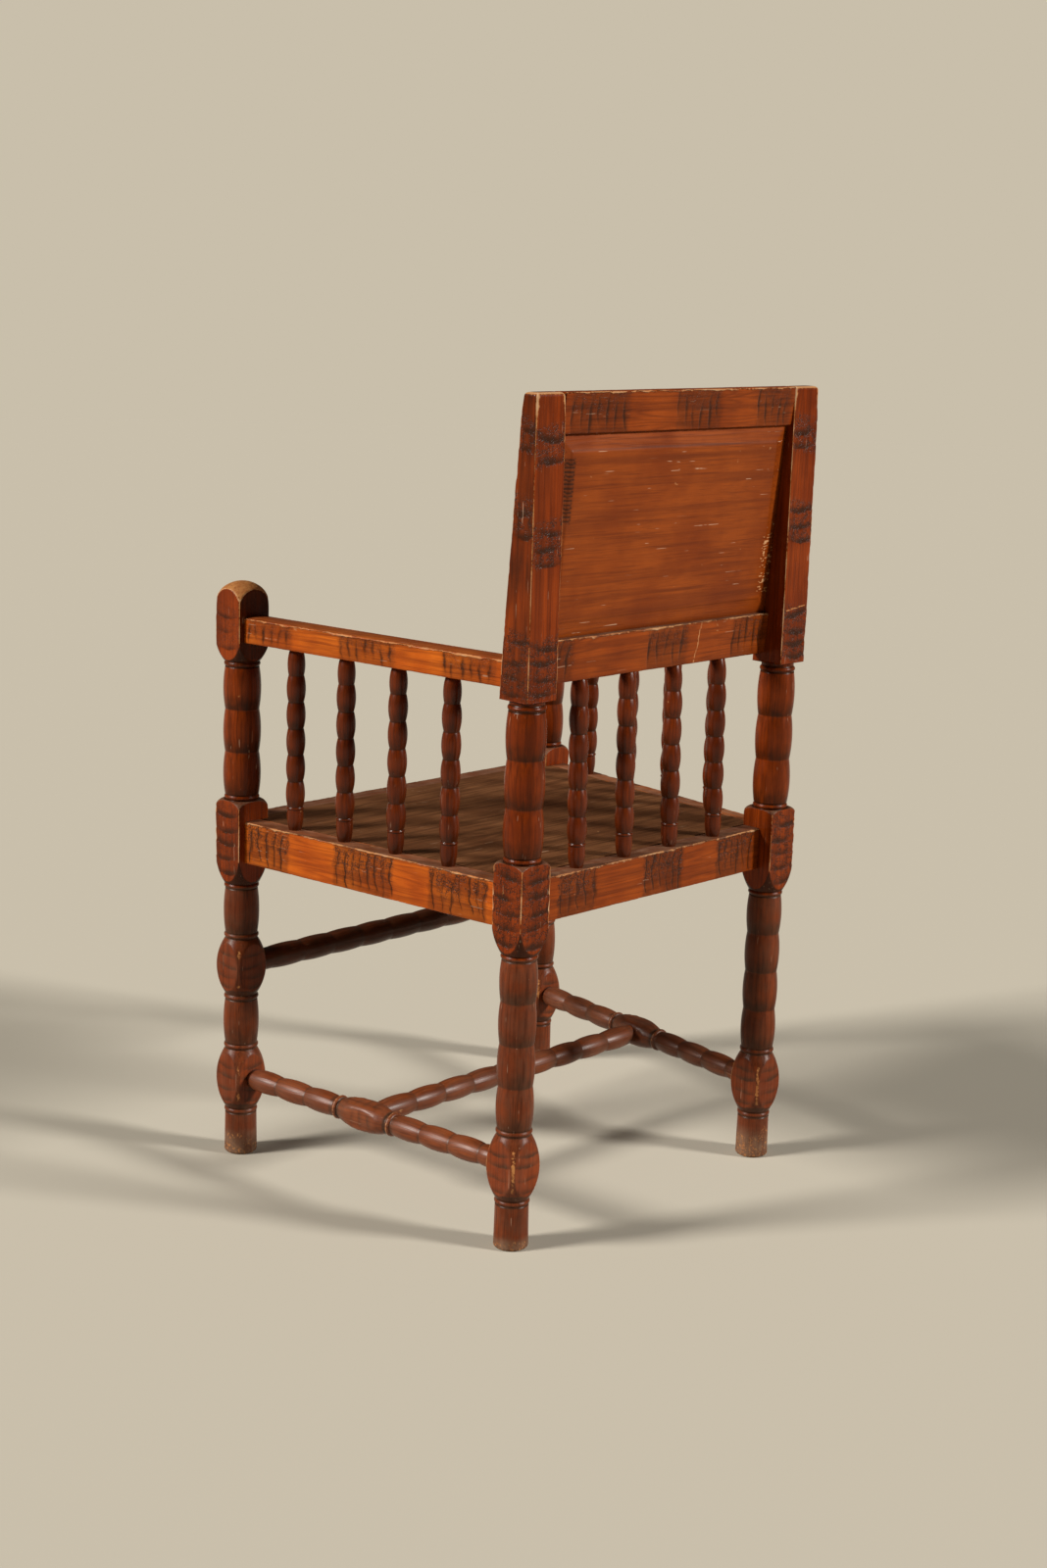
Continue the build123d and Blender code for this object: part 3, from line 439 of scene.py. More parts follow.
def post(name, axis, mirror, shape, zones, seed, toe_wear):
    """A post: turned outline cut by the square of its stock, gouged on its flats."""
    z, r = shape[:, 0], shape[:, 1]
    theta = round_positions(24, 7)
    zz, tt = np.meshgrid(z, theta, indexing="ij")
    rr = np.repeat(r[:, None], len(theta), 1)
    rear = name.startswith("rear")
    block = (zz >= BACK_BLOCK) & rear & (rr > CORNER_R - 0.5)
    front_face = BACK_FRONT_Y + (zz - BACK_BLOCK) * POST_RAKE
    middle_y = np.where(block, (front_face + BACK_REAR_Y) / 2, axis[1])
    quarter = np.floor(((tt + math.pi / 4) % (2 * math.pi)) / (math.pi / 2)).astype(int)
    corner_id = np.floor((tt % (2 * math.pi)) / (math.pi / 2)).astype(int)
    edge_at = math.pi / 4 - np.abs(from_face(tt))
    slant = np.maximum(np.abs(np.cos(tt)), np.abs(np.sin(tt)))
    across = np.minimum(np.abs(np.cos(tt)), np.abs(np.sin(tt))) / slant
    across = across * np.sign(np.where(quarter % 2 == 0, np.sin(tt), np.cos(tt)))
    ends = BACK_TOP if rear else FINIAL_TOP
    over = np.clip(zz - (ends - TOP_ROUND), 0, TOP_ROUND)
    top_round = np.where(block, TOP_ROUND - np.sqrt(TOP_ROUND ** 2 - over ** 2), 0.0)
    hy = np.where(block, (BACK_REAR_Y - front_face) / 2, HALF) - top_round - INSIDE
    hx = HALF - INSIDE - top_round
    tt = np.where(block, np.arctan2(np.sin(tt) * hy, np.cos(tt) * hx), tt)
    chip = post_chips(z, corner_id, seed)
    chip = chip + np.where(block | (not rear), 3.6 * smooth((zz - ends + 45) / 50), 0)
    square = rect_radius(tt, hx, hy, chip)
    turned = rr - INSIDE
    gap = square - turned
    melt = np.maximum(0.9 - np.abs(gap), 0) / 0.9
    radius = np.minimum(square, turned) - melt ** 2 * 0.22
    radius = radius - 0.18 * (noise2(tt * 3 + 9, zz / 34, seed + 30))
    on_flat = smooth(-gap / 0.6 + 0.2)
    depth, stain_and_shade, crackle = (part * on_flat for part in post_gouges(zz, across, quarter, zones, seed, rear))
    radius = radius - 1.3 * depth / slant
    # stain in the necks and beside the rings, and painted shade under the bellies, off the flats
    shade = ring_stain_and_shade(z, r, REAR_RINGS if rear else FRONT_RINGS)[:, None]
    shade = shade * (0.85 + 0.3 * noise2(tt * 4, zz / 6, seed + 66))
    stain_and_shade = np.maximum(stain_and_shade, (1 - on_flat) * shade)

    # rubbed edges, worn tops, dusty upper shoulders and painted shade on the lower shoulders
    frayed = smooth((zz - ends + 42) / 38) * (2.2 + 3.4 * noise2(tt * 9, zz / 5, seed + 68)) * rear
    arris = bell(edge_at * HALF * 2 / (0.55 + 0.5 * np.minimum(chip, 2.5) + frayed)) * on_flat
    rub = noise1(z / 15.0, seed + 70)[:, None] * 0.5 + 0.5
    bare = arris * rub
    sill = SEAT_BLOCK[1] - RUN_START
    upper = (zz > sill - 16) & (zz < sill + 0.5)
    domed = (zz > ends - 34) & (not rear)
    rim = bell(gap / 0.7) * (rr > 22.6) * (rub * 0.6 + 0.4)
    bare = np.maximum(bare, rim * np.where(domed, 1.0, np.where(upper, 0.7, 0.0)))
    crest = (1 - on_flat) * smooth((zz - ends + 36) / 10) * (not rear)
    crest = np.maximum(crest, smooth((zz - ends + 10) / 4) * (not rear))
    bare = np.maximum(bare, crest * 0.66)
    shoulder = (1 - on_flat) * (rr > 22.7) * (zz > 300)
    shaded_low_side = ((zz > SEAT_BLOCK[0]) & (zz < 400)) | ((zz > 649) & (zz < 690) & (not rear))
    # painted shade: the shoulders at the foot of the seat block and of a front finial face down and are
    # darkened as if shaded
    stain_and_shade = np.maximum(stain_and_shade, shoulder * np.where(shaded_low_side, 0.75, 0.0))
    stain_and_shade = np.where(shoulder * (upper | domed) > 0.5, 0.1, stain_and_shade)
    if rear:
        if mirror:
            nick = bell((zz - 735.0 - 3.0 * across) / 1.3)
            bare = np.maximum(bare, 0.8 * nick * (quarter == 1) * (np.abs(across) < 0.85))
        bare = np.maximum(bare, smooth((zz - ends + 4) / 3) * 0.8)
        bare = np.maximum(bare, arris * smooth((zz - ends + 60) / 50))
    strip = (1 - on_flat) * bell(edge_at / 0.13) * (rr > 27.0) * (zz < 300)
    bare = np.maximum(bare, strip * (0.25 + 0.45 * noise1(z / 12.0, seed + 72)[:, None]))
    toe = smooth((toe_wear * (0.5 + noise2(tt * 2.5, zz / 9, seed + 71)) - zz) / (0.5 * toe_wear))
    bare = np.maximum(bare, toe * 0.43)
    matte = np.maximum(smooth((1.3 * toe_wear - zz) / (0.8 * toe_wear)), shoulder * upper * 0.9)
    matte = np.maximum(matte, 0.22 * (zz < SEAT_BLOCK[0]))
    x, y = radius * np.cos(tt) + axis[0], radius * np.sin(tt) + middle_y
    points = np.stack([x, y, zz], -1)
    values = dict(stain_and_shade=stain_and_shade, bare=bare, crackle=crackle, matte=matte)
    if rear:
        points, values = close_top(points, values, (axis[0], middle_y[-1, 0]))
    if mirror:
        points, values = mirrored(points, values)
    grain = points - [axis[0] * (-1 if mirror else 1), axis[1], 0] + [seed * 37.0, seed * 11.0, seed * 23.0]
    return grid_object(name + "_skin", points, values, MATERIALS["post_wood"], grain, [name])


def close_top(points, values, middle):
    """Carry the last station inward over a flat top, round the point middle (x, y)."""
    last = points[-1]
    middle = np.array([*middle, last[0, 2]])
    rings = [middle + (last - middle) * share for share in (0.93, 0.8, 0.6, 0.35, 0.12)]
    points = np.concatenate([points, np.stack(rings)])
    grown = {}
    for key, data in values.items():
        tail = data[-1] * (0.35 if key == "bare" else 1.0)
        grown[key] = np.concatenate([data, np.stack([tail] * len(rings))])
    return points, grown


# ---- bars: rails, arms and the panel ----
def section_loop(corners, step, near=3.0, fine=0.5):
    """Points round a polygon, closer together near its corners, with the side each is on and where."""
    out = []
    for n, start in enumerate(corners):
        end = corners[(n + 1) % len(corners)]
        length = math.dist(start, end)
        reach = min(near, length * 0.3)
        count_near = max(2, int(reach / fine))
        count_flat = max(2, int((length - 2 * reach) / step))
        at = np.concatenate([np.linspace(0, reach, count_near, endpoint=False),
                             np.linspace(reach, length - reach, count_flat, endpoint=False),
                             np.linspace(length - reach, length, count_near, endpoint=False)])
        for s in at:
            share = s / length
            out.append((start[0] + (end[0] - start[0]) * share, start[1] + (end[1] - start[1]) * share,
                        n, 2 * share - 1, s, length - s))
    return np.array(out)


def bar(name, place, corners, ends, step, decorate, seed, slot="rail_wood", worn=(1,), mirror=False,
        top=None, finish=None, dusty=()):
    """A bar of constant section. place is (origin, U, V, W); ends gives w at both ends from (u, v).

    worn lists the arrises rubbed pale, dusty the (side, level) pairs that are dull with dust.
    """
    origin, U, V, W = (np.array(v, float) for v in place)
    loop = section_loop(corners, 1.7)
    u, v, side, across, s0, s1 = loop.T
    side = side.astype(int)
    low, high = ends(u, v)
    count = int(np.max(high - low) / step)
    share = np.linspace(0, 1, count)[:, None]
    w = low[None] * (1 - share) + high[None] * share
    size = len(corners)
    normal = np.zeros((size, 2))
    for n in range(size):
        d = np.array(corners[(n + 1) % size]) - np.array(corners[n])
        normal[n] = np.array([d[1], -d[0]]) / math.hypot(*d)
    nu, nv = normal[side, 0], normal[side, 1]
    depth, stain_and_shade, crackle, bare = decorate(side[None], w, np.broadcast_to(across, w.shape))
    pull_u, pull_v = -nu * (INSIDE + depth), -nv * (INSIDE + depth)
    for n in range(size):
        before, after = normal[n - 1], normal[n]
        turn = before[0] * after[1] - before[1] * after[0]
        if turn < 0.2:
            continue
        dist = np.where(side == n, s0, np.where(side == (n - 1) % size, s1, 99.0))
        rough = noise1(w[:, 0] / 17.0, seed + n) ** 2 * 1.1 + noise1(w[:, 0] / 4.0, seed + 20 + n) ** 3 * 0.9
        radius = (1.1 + rough * (1.6 if n in worn else 0.9))[:, None]
        d = np.clip(dist[None] / radius, 0, 1)
        sink = radius * (1 - np.sqrt(np.clip(1 - (1 - d) ** 2, 0, 1))) * (dist[None] < 50)
        pull_u = pull_u - nu * sink
        pull_v = pull_v - nv * sink
        same = bell(dist[None] / (0.6 + 0.6 * radius))
        level = (0.42 + 0.48 * noise1(w[:, 0] / 11.0, seed + 40 + n)) if n in worn else 0.3 + 0 * w[:, 0]
        bare = np.maximum(bare, same * level[:, None])
    uu, vv = u[None] + pull_u, v[None] + pull_v
    if top is not None:
        uu, vv = top(uu, vv, w)
    points = origin + uu[..., None] * U + vv[..., None] * V + w[..., None] * W
    grain = np.stack([uu + seed * 13.0, vv + seed * 29.0, w + seed * 41.0], -1)
    matte = np.zeros_like(w)
    for number, level in dusty:
        matte = np.where(side[None] == number, level, matte)
    values = dict(stain_and_shade=stain_and_shade, bare=bare, crackle=crackle, matte=matte)
    if mirror:
        (points, values), grain = mirrored(points, values), grain[:, ::-1]
    return grid_object(name + "_skin", points, values, MATERIALS[finish or slot], grain, [name])


def side_x(y):
    return FRONT_AXIS[0] - (y - FRONT_AXIS[1]) * SIDE_SLOPE


def side_place(z, y=0.0, out=0.0):
    """Frame on the left side line: U outward, V up, W toward the back."""
    c, s = math.cos(SIDE_ANGLE), math.sin(SIDE_ANGLE)
    return ((side_x(y) + out * c, y + out * s, z), (c, s, 0), (0, 0, 1), (-s, c, 0))


def across_place(y, z):
    """Frame across the chair: U toward the back, V up, W toward the sitter's right."""
    return ((0, y, z), (0, 1, 0), (0, 0, 1), (-1, 0, 0))


def back_place():
    """Frame of the raked back: U out of its rear face, V up the slope, W toward the sitter's right."""
    c, s = math.cos(FRAME_RAKE), math.sin(FRAME_RAKE)
    return ((0, LOWER_RAIL_Y, LOWER_RAIL_Z), (0, c, -s), (0, s, c), (-1, 0, 0))


def gouged(sides, zones, bow, seed, depth_mm, crackled, cupped=False, nicks=()):
    """Decoration for a bar: clusters of upright gouge cuts on the given sides, plain or cupped, and nicks."""
    def decorate(side, w, across):
        depth, stain_and_shade, crackle = np.zeros_like(w), np.zeros_like(w), np.zeros_like(w)
        for number, flip in sides:
            if cupped:
                cut, dark = scales(w, across * flip, zones, GOUGE_PITCH, bow * flip, seed + number)
                dark = dark * 0.95
            else:
                cut, dark = scallops(w, across * flip, zones, GOUGE_PITCH, bow * flip, seed + number)
            here = np.broadcast_to(side == number, w.shape)
            ragged = w + 5 * (noise1(across * 4 + 3, seed + 5) - 0.5)
            region = zone_mask(ragged, zones, 12.0 if cupped else 7.0)
            high = smooth(across * flip * 1.6 + 0.75 + 0.8 * (noise1(w / 9.0, seed + 9) - 0.5))
            depth = np.where(here, cut * depth_mm, depth)
            stain_and_shade = np.where(here, np.maximum(dark, (0.33 if cupped else 0.38) * region), stain_and_shade)
            crackle = np.where(here, region * high * crackled, crackle)
        bare = np.zeros_like(w)
        for at, lean in nicks:
            path = at + lean * across + 3 * (noise1(across * 5 + 9, seed + 15) - 0.5)
            bare = np.maximum(bare, 0.75 * bell((w - path) / 1.3) * (side == sides[0][0]))
        return depth, stain_and_shade, crackle, bare
    return decorate


# ---- turned bars ----
def turned_bar(name, place, shape, slot, seed, around, soak_and_shade, half=None, mirror=False, finish=None,
               gold=(), dull=0.0):
    """A round bar along W, squared to half where it has a block, whose ends (gold) have rubbed rings."""
    origin, U, V, W = (np.array(v, float) for v in place)
    w, r = shape[:, 0], shape[:, 1]
    theta = np.linspace(0, 2 * math.pi, around, endpoint=False)
    if half:
        theta = round_positions(max(4, around // 8), 3)
    ww, tt = np.meshgrid(w, theta, indexing="ij")
    rr = np.repeat(r[:, None], len(theta), 1) - 0.08
    flat = np.zeros_like(rr)
    if half:
        square = rect_radius(tt, half - 0.1, half - 0.1, 1.2)
        flat = smooth((rr - square) / 0.6)
        rr = np.minimum(rr, square)
    cut, dark = np.zeros_like(rr), np.zeros_like(rr)
    if half:
        cut, dark = scales(ww, np.tan(from_face(tt)), [gold], 14.0, 3.0, seed)
        rr = rr - 0.45 * cut * flat
    rr = rr - 0.08 * noise2(tt * 2 + 5, ww / 23, seed) * (rr > 6.5)
    # painted shade: the side of each swelling that faces back along the bar is darkened, which is the
    # underside on the upright spindles
    rise = np.gradient(r) / np.maximum(np.gradient(w), 0.05)
    necks = np.maximum(neck_stain(w, r, 7.0, 1.5), soak_and_shade + 0.3 * smooth(np.clip(rise * 4, 0, 1)))
    necks = np.repeat(necks[:, None], len(theta), 1)
    stain_and_shade = np.maximum(necks * (1 - flat), soak_and_shade) * (0.65 + 0.3 * noise2(tt * 3, ww / 9, seed + 3))
    stain_and_shade = np.maximum(stain_and_shade, 0.6 * dark * flat)
    corner = np.abs(from_face(tt)) / (math.pi / 4)
    bare = flat * smooth((corner - 0.9) / 0.1) * 0.7
    for level in gold:
        bare = np.maximum(bare, 0.55 * bell((ww - level) / 1.6))
    points = (origin + (rr * np.cos(tt))[..., None] * U + (rr * np.sin(tt))[..., None] * V
              + ww[..., None] * W)
    grain = np.stack([rr * np.cos(tt) + seed * 17.0, rr * np.sin(tt) + seed * 5.0, ww + seed * 31.0], -1)
    values = dict(stain_and_shade=stain_and_shade, bare=bare, crackle=np.zeros_like(bare), matte=np.full_like(bare, dull))
    if mirror:
        (points, values), grain = mirrored(points, values), grain[:, ::-1]
    return grid_object(name + "_skin", points, values, MATERIALS[finish or slot], grain, [name])


def spindle_shape(length):
    """Outline of a spindle: a foot, a thin ring, five beads and a longer neck, with pins at both ends."""
    bead = (length - 29.0) / 6
    foot = 29.6
    runs = [(8.0, 0.0), (10.4, 16.0, 9.9, 26.4), (11.0, 28.0, 9.7, foot)]
    for n in range(5):
        base = foot + n * bead
        runs.append((12.0, base + bead / 2, 9.7, base + bead))
    neck = runs[-1][-1]
    runs += [(11.1, (neck + length) / 2 - 2, 8.0, length), (8.0, length + 2.5)]
    return outline((8.0, -2.5), runs, 1.1)


# ---- materials ----
def node(tree, kind, inputs=None, **settings):
    made = tree.nodes.new(kind)
    for key, value in settings.items():
        setattr(made, key, value)
    for key, value in (inputs or {}).items():
        socket = made.inputs[key]
        if isinstance(value, bpy.types.NodeSocket):
            tree.links.new(value, socket)
        else:
            socket.default_value = value
    return made


def new_material(name):
    """A material with its node tree and its shader."""
    m = bpy.data.materials.new(name)
    m.use_nodes = True
    return m, m.node_tree, m.node_tree.nodes["Principled BSDF"]


def math_node(tree, operation, a, b=0.0, clamp=False):
    return node(tree, "ShaderNodeMath", {0: a, 1: b}, operation=operation, use_clamp=clamp).outputs[0]


def mix(tree, factor, a, b):
    made = node(tree, "ShaderNodeMix", data_type="RGBA")
    for key, value in (("Factor", factor), ("A", a), ("B", b)):
        socket = [s for s in made.inputs if s.name == key and s.enabled][0]
        if isinstance(value, bpy.types.NodeSocket):
            tree.links.new(value, socket)
        else:
            socket.default_value = (*value, 1) if isinstance(value, tuple) else value
    return [s for s in made.outputs if s.enabled][0]


def ramp(tree, value, low, high):
    """Clamped 0 to 1 between two levels."""
    return node(tree, "ShaderNodeMapRange", {"Value": value, "From Min": low, "From Max": high},
                interpolation_type="SMOOTHSTEP").outputs[0]


STAIN_AND_SHADE = (0.026, 0.0075, 0.0022)
RUBBED = (0.52, 0.255, 0.105)
RUBBED_THROUGH = (0.58, 0.36, 0.20)
SCRATCH = (0.55, 0.36, 0.24)
DUST = ((0.105, 0.048, 0.026), (0.175, 0.098, 0.060))
MATERIALS = {}


def blend(a, b, share):
    """A colour between two, with that share of the second."""
    return tuple((1 - share) * p + share * q for p, q in zip(a, b))


def wood(name, light, middle, dark, rough, specular, bare=RUBBED, scratches=0.35, figure=0.34,
         source="grain"):
    """Stained pine: growth rings, fibres, dark stain in the low places, painted shade, rubbed edges and small
    knocks.
    """
    m, t, shader = new_material(name)
    times, plus, minus = (partial(math_node, t, kind) for kind in ("MULTIPLY", "ADD", "SUBTRACT"))
    level, tint = partial(ramp, t), partial(mix, t)

    def held(key, output="Fac"):
        return node(t, "ShaderNodeAttribute", attribute_name=key).outputs[output]

    def mapped(vector, **inputs):
        return node(t, "ShaderNodeMapping", {"Vector": vector, **inputs}).outputs[0]

    def noise(vector, scale, detail=3.0, roughness=0.55, distortion=0.0):
        return node(t, "ShaderNodeTexNoise", {"Vector": vector, "Scale": scale, "Detail": detail,
                    "Roughness": roughness, "Distortion": distortion}).outputs["Fac"]

    def bend(a, b, operation):
        return node(t, "ShaderNodeVectorMath", {0: a, 1: b}, operation=operation).outputs[0]

    # growth rings and fibres
    if source == "grain":
        co = held("grain", "Vector")
    else:
        co = mapped(node(t, "ShaderNodeTexCoord").outputs["Object"], Rotation=(0, math.pi / 2, 0))
    long, fine = mapped(co, Scale=(1, 1, 0.07)), mapped(co, Scale=(1, 1, 0.025))
    growth = noise(long, 34.0, 2.0, 0.5, 0.25)
    rings = level(math_node(t, "PINGPONG", times(growth, 26.0), 1.0), 0.35, 1.0)
    fibre = noise(fine, 900.0, 3.0, 0.65)
    streak = noise(fine, 260.0, 4.0, 0.65)
    blotch, patch = noise(co, 11.0), noise(co, 45.0, 3.0, 0.6)
    colour = tint(level(blotch, 0.3, 0.7), middle, light)
    colour = tint(times(rings, figure), colour, dark)
    colour = tint(times(level(streak, 0.5, 0.7), 0.55), colour, dark)
    colour = tint(times(level(fibre, 0.5, 0.72), 0.5), colour, dark)
    colour = tint(times(level(patch, 0.55, 0.8), 0.3), colour, middle)
    bands = level(noise(fine, 75.0, 2.0, 0.6), 0.47, 0.66)
    colour = tint(times(bands, 0.5), colour, blend(middle, dark, 0.7))

    # stain lying in the low places, and painted shade, in one dark colour
    uneven = plus(times(streak, 0.6), times(patch, 0.6))
    soaked_and_shaded = level(times(held("stain_and_shade"), plus(uneven, 0.42), True), 0.04, 0.78)
    colour = tint(times(soaked_and_shaded, 0.9), colour, STAIN_AND_SHADE)

    # crazed varnish
    swirl = node(t, "ShaderNodeTexNoise", {"Vector": co, "Scale": 160.0, "Detail": 2.0}).outputs["Color"]
    bent = bend(co, bend(swirl, (0.006, 0.006, 0.006), "MULTIPLY"), "ADD")
    cells = node(t, "ShaderNodeTexVoronoi", {"Vector": bent, "Scale": 300.0, "Randomness": 1.0},
                 feature="DISTANCE_TO_EDGE").outputs["Distance"]
    crack = times(level(cells, 0.15, 0.05), level(noise(co, 130.0, 2.0), 0.42, 0.55))
    crack = times(crack, held("crackle"), True)
    colour = tint(times(crack, 0.85), colour, STAIN_AND_SHADE)

    # dust, then bare wood where the edges are rubbed
    matte_at, bare_at = held("matte"), held("bare")
    dust = times(matte_at, level(streak, 0.9, 0.4))
    colour = tint(dust, colour, tint(level(patch, 0.3, 0.7), *DUST))
    chips = noise(co, 300.0, 3.0, 0.65)
    rubbed = plus(bare_at, times(minus(chips, 0.5), 0.9))
    rubbed = times(level(rubbed, 0.42, 0.62), level(bare_at, 0.02, 0.2))
    worn = tint(level(streak, 0.35, 0.7), bare, blend(bare, light, 0.5))
    worn = tint(level(bare_at, 0.68, 0.9), worn, RUBBED_THROUGH)
    colour = tint(times(rubbed, 0.85), colour, worn)

    # knocks and three sets of scratches, each at its own slant
    knocks = noise(mapped(co, Scale=(1, 1, 0.6)), 120.0, 2.0)
    knocks = level(times(knocks, noise(co, 31.0, 2.0)), 0.47, 0.5)
    colour = tint(times(knocks, 0.4), colour, bare)
    marks = 0.0
    for turn, at in (((0.0, 0.0, 0.0), 0.0), ((1.35, 0.25, 0.0), 0.4), ((0.45, 1.2, 0.3), 0.9)):
        slanted = mapped(co, Rotation=turn, Scale=(1, 1, 0.03), Location=(at, at, at))
        thin = level(noise(slanted, 420.0, 1.0), 0.725, 0.755)
        where = level(noise(mapped(co, Location=(at, 0, at)), 34.0, 2.0), 0.54, 0.60)
        marks = math_node(t, "MAXIMUM", marks, times(thin, where))
    colour = tint(times(marks, scratches), colour, SCRATCH)
    t.links.new(colour, shader.inputs["Base Color"])

    # gloss and relief
    gloss = plus(rough, times(fibre, 0.09))
    for fact, share in ((level(blotch, 0.35, 0.75), 0.06), (rubbed, 0.3), (matte_at, 0.3)):
        gloss = plus(gloss, times(fact, share))
    t.links.new(plus(gloss, times(crack, 0.25), True), shader.inputs["Roughness"])
    shader.inputs["Specular IOR Level"].default_value = specular
    height = plus(times(fibre, 0.5), times(rings, 0.25))
    height = minus(minus(height, times(crack, 1.6)), times(rubbed, 0.6))
    height = plus(height, times(chips, 0.3))
    bump = node(t, "ShaderNodeBump", {"Strength": 0.35, "Distance": 0.0006, "Height": height}).outputs[0]
    t.links.new(bump, shader.inputs["Normal"])
    MATERIALS[name] = m


wood("post_wood", (0.245, 0.037, 0.0025), (0.155, 0.020, 0.0013), (0.040, 0.006, 0.001), 0.22, 0.13,
     bare=(0.50, 0.222, 0.072))
wood("rail_wood", (0.62, 0.142, 0.0085), (0.39, 0.068, 0.004), (0.12, 0.017, 0.002), 0.24, 0.15)
wood("cross_rail_wood", (0.31, 0.057, 0.004), (0.20, 0.032, 0.0022), (0.065, 0.010, 0.0015), 0.24, 0.15)
wood("spindle_wood", (0.165, 0.024, 0.002), (0.10, 0.013, 0.0012), (0.035, 0.005, 0.001), 0.2, 0.22,
     scratches=0.15)
wood("stretcher_wood", (0.24, 0.046, 0.005), (0.14, 0.022, 0.0028), (0.045, 0.008, 0.002), 0.23, 0.28,
     scratches=0.2)
wood("panel_wood", (0.27, 0.053, 0.004), (0.185, 0.031, 0.0022), (0.08, 0.012, 0.0015), 0.3, 0.15,
     scratches=0.7, figure=0.13)
wood("seat_wood", (0.185, 0.078, 0.032), (0.112, 0.043, 0.017), (0.036, 0.014, 0.006), 0.5, 0.04,
     figure=0.42, source="object")
wood("block_wood", (0.30, 0.15, 0.06), (0.22, 0.10, 0.04), (0.10, 0.045, 0.02), 0.55, 0.3,
     source="object")


# ---- camera ----
CAMERA_AT = (2.0714, 2.0298, 1.1424)
CAMERA_AZIMUTH = 134.384
CAMERA_DOWN = 12.591
CAMERA_ROLL = 1.757
CAMERA_LENS = 53.06


def make_camera():
    a, e, r = (math.radians(v) for v in (CAMERA_AZIMUTH, CAMERA_DOWN, CAMERA_ROLL))
    back = Vector((math.sin(a) * math.cos(e), -math.cos(a) * math.cos(e), math.sin(e)))
    right = (-back).cross(Vector((0, 0, 1))).normalized()
    up = right.cross(-back)
    right, up = right * math.cos(r) + up * math.sin(r), up * math.cos(r) - right * math.sin(r)
    data = bpy.data.cameras.new("camera")
    data.lens = CAMERA_LENS
    data.sensor_width = 36.0
    data.clip_end = 100.0
    cam = new_object("camera", data)
    cam.matrix_world = Matrix.Translation(CAMERA_AT) @ Matrix((right, up, back)).transposed().to_4x4()
    bpy.context.scene.camera = cam


def sun(name, azimuth, height, spread, strength, colour):
    """A soft lamp far away: where it stands round the chair, how high and how wide, in degrees."""
    data = bpy.data.lights.new(name, "SUN")
    data.energy = strength
    data.angle = math.radians(spread)
    data.color = colour
    a, h = math.radians(azimuth), math.radians(height)
    toward = Vector((math.cos(a) * math.cos(h), math.sin(a) * math.cos(h), math.sin(h)))
    lamp = new_object(name, data)
    lamp.location = toward * 5.0
    lamp.rotation_mode = "QUATERNION"
    lamp.rotation_quaternion = (-toward).to_track_quat("-Z", "Y")


FLOOR_RADIUS = 14
FLOOR_SIDES = 96
FLOOR_PAINT = (0.50, 0.468, 0.396)
SKY = (0.635, 0.566, 0.442)
SKY_SEEN = 0.83          # brightens the background alone, so that it meets the floor
SKY_LIGHT = 0.09


def make_floor():
    mesh = bpy.data.meshes.new("floor")
    turns = [2 * math.pi * n / FLOOR_SIDES for n in range(FLOOR_SIDES)]
    rim = [(FLOOR_RADIUS * math.cos(turn), FLOOR_RADIUS * math.sin(turn), 0) for turn in turns]
    mesh.from_pydata(rim, [], [tuple(range(FLOOR_SIDES))])
    floor = new_object("floor", mesh)
    paint, _, shader = new_material("floor_paint")
    shader.inputs["Base Color"].default_value = (*FLOOR_PAINT, 1)
    shader.inputs["Roughness"].default_value = 0.9
    shader.inputs["Specular IOR Level"].default_value = 0.0
    mesh.materials.append(paint)


def make_studio():
    """Floor, an even weak sky and two soft suns."""
    make_floor()
    world = bpy.data.worlds.new("world")
    bpy.context.scene.world = world
    world.use_nodes = True
    sky = world.node_tree.nodes["Background"]
    sky.inputs["Color"].default_value = (*SKY, 1)
    tree = world.node_tree
    seen = node(tree, "ShaderNodeLightPath").outputs["Is Camera Ray"]
    shine = math_node(tree, "ADD", math_node(tree, "MULTIPLY", seen, SKY_SEEN), SKY_LIGHT)
    tree.links.new(shine, sky.inputs["Strength"])
    sun("left_light", -26.0, 29.0, 13.0, 4.2, (1, 0.95, 0.88))
    sun("right_light", 119.0, 24.0, 10.0, 3.6, (1, 0.96, 0.9))
    bpy.context.scene.view_settings.view_transform = "Standard"


# ---- the chair ----
SEAT_FACE = [(375, 472)]
BACK_FACE = [(668, 745), (850, 897), (944, 984)]
REAR_FACE = [(668, 738), (818, 870), (930, 975)]


def build_posts():
    front, rear = front_outline(), rear_outline()
    none = []
    finial = [(668, 724)]
    for side, mirror in SIDES:
        shift = 400 if mirror else 0
        post("front_" + side + "_post", FRONT_AXIS, mirror, front,
             [SEAT_FACE + finial, none, none, SEAT_FACE + finial], 11 + shift, 20 if mirror else 34)
        post("rear_" + side + "_post", REAR_AXIS, mirror, rear,
             [SEAT_FACE + BACK_FACE, SEAT_FACE + REAR_FACE, none, [(760, 800), (905, 950)]], 23 + shift,
             42 if mirror else 17)


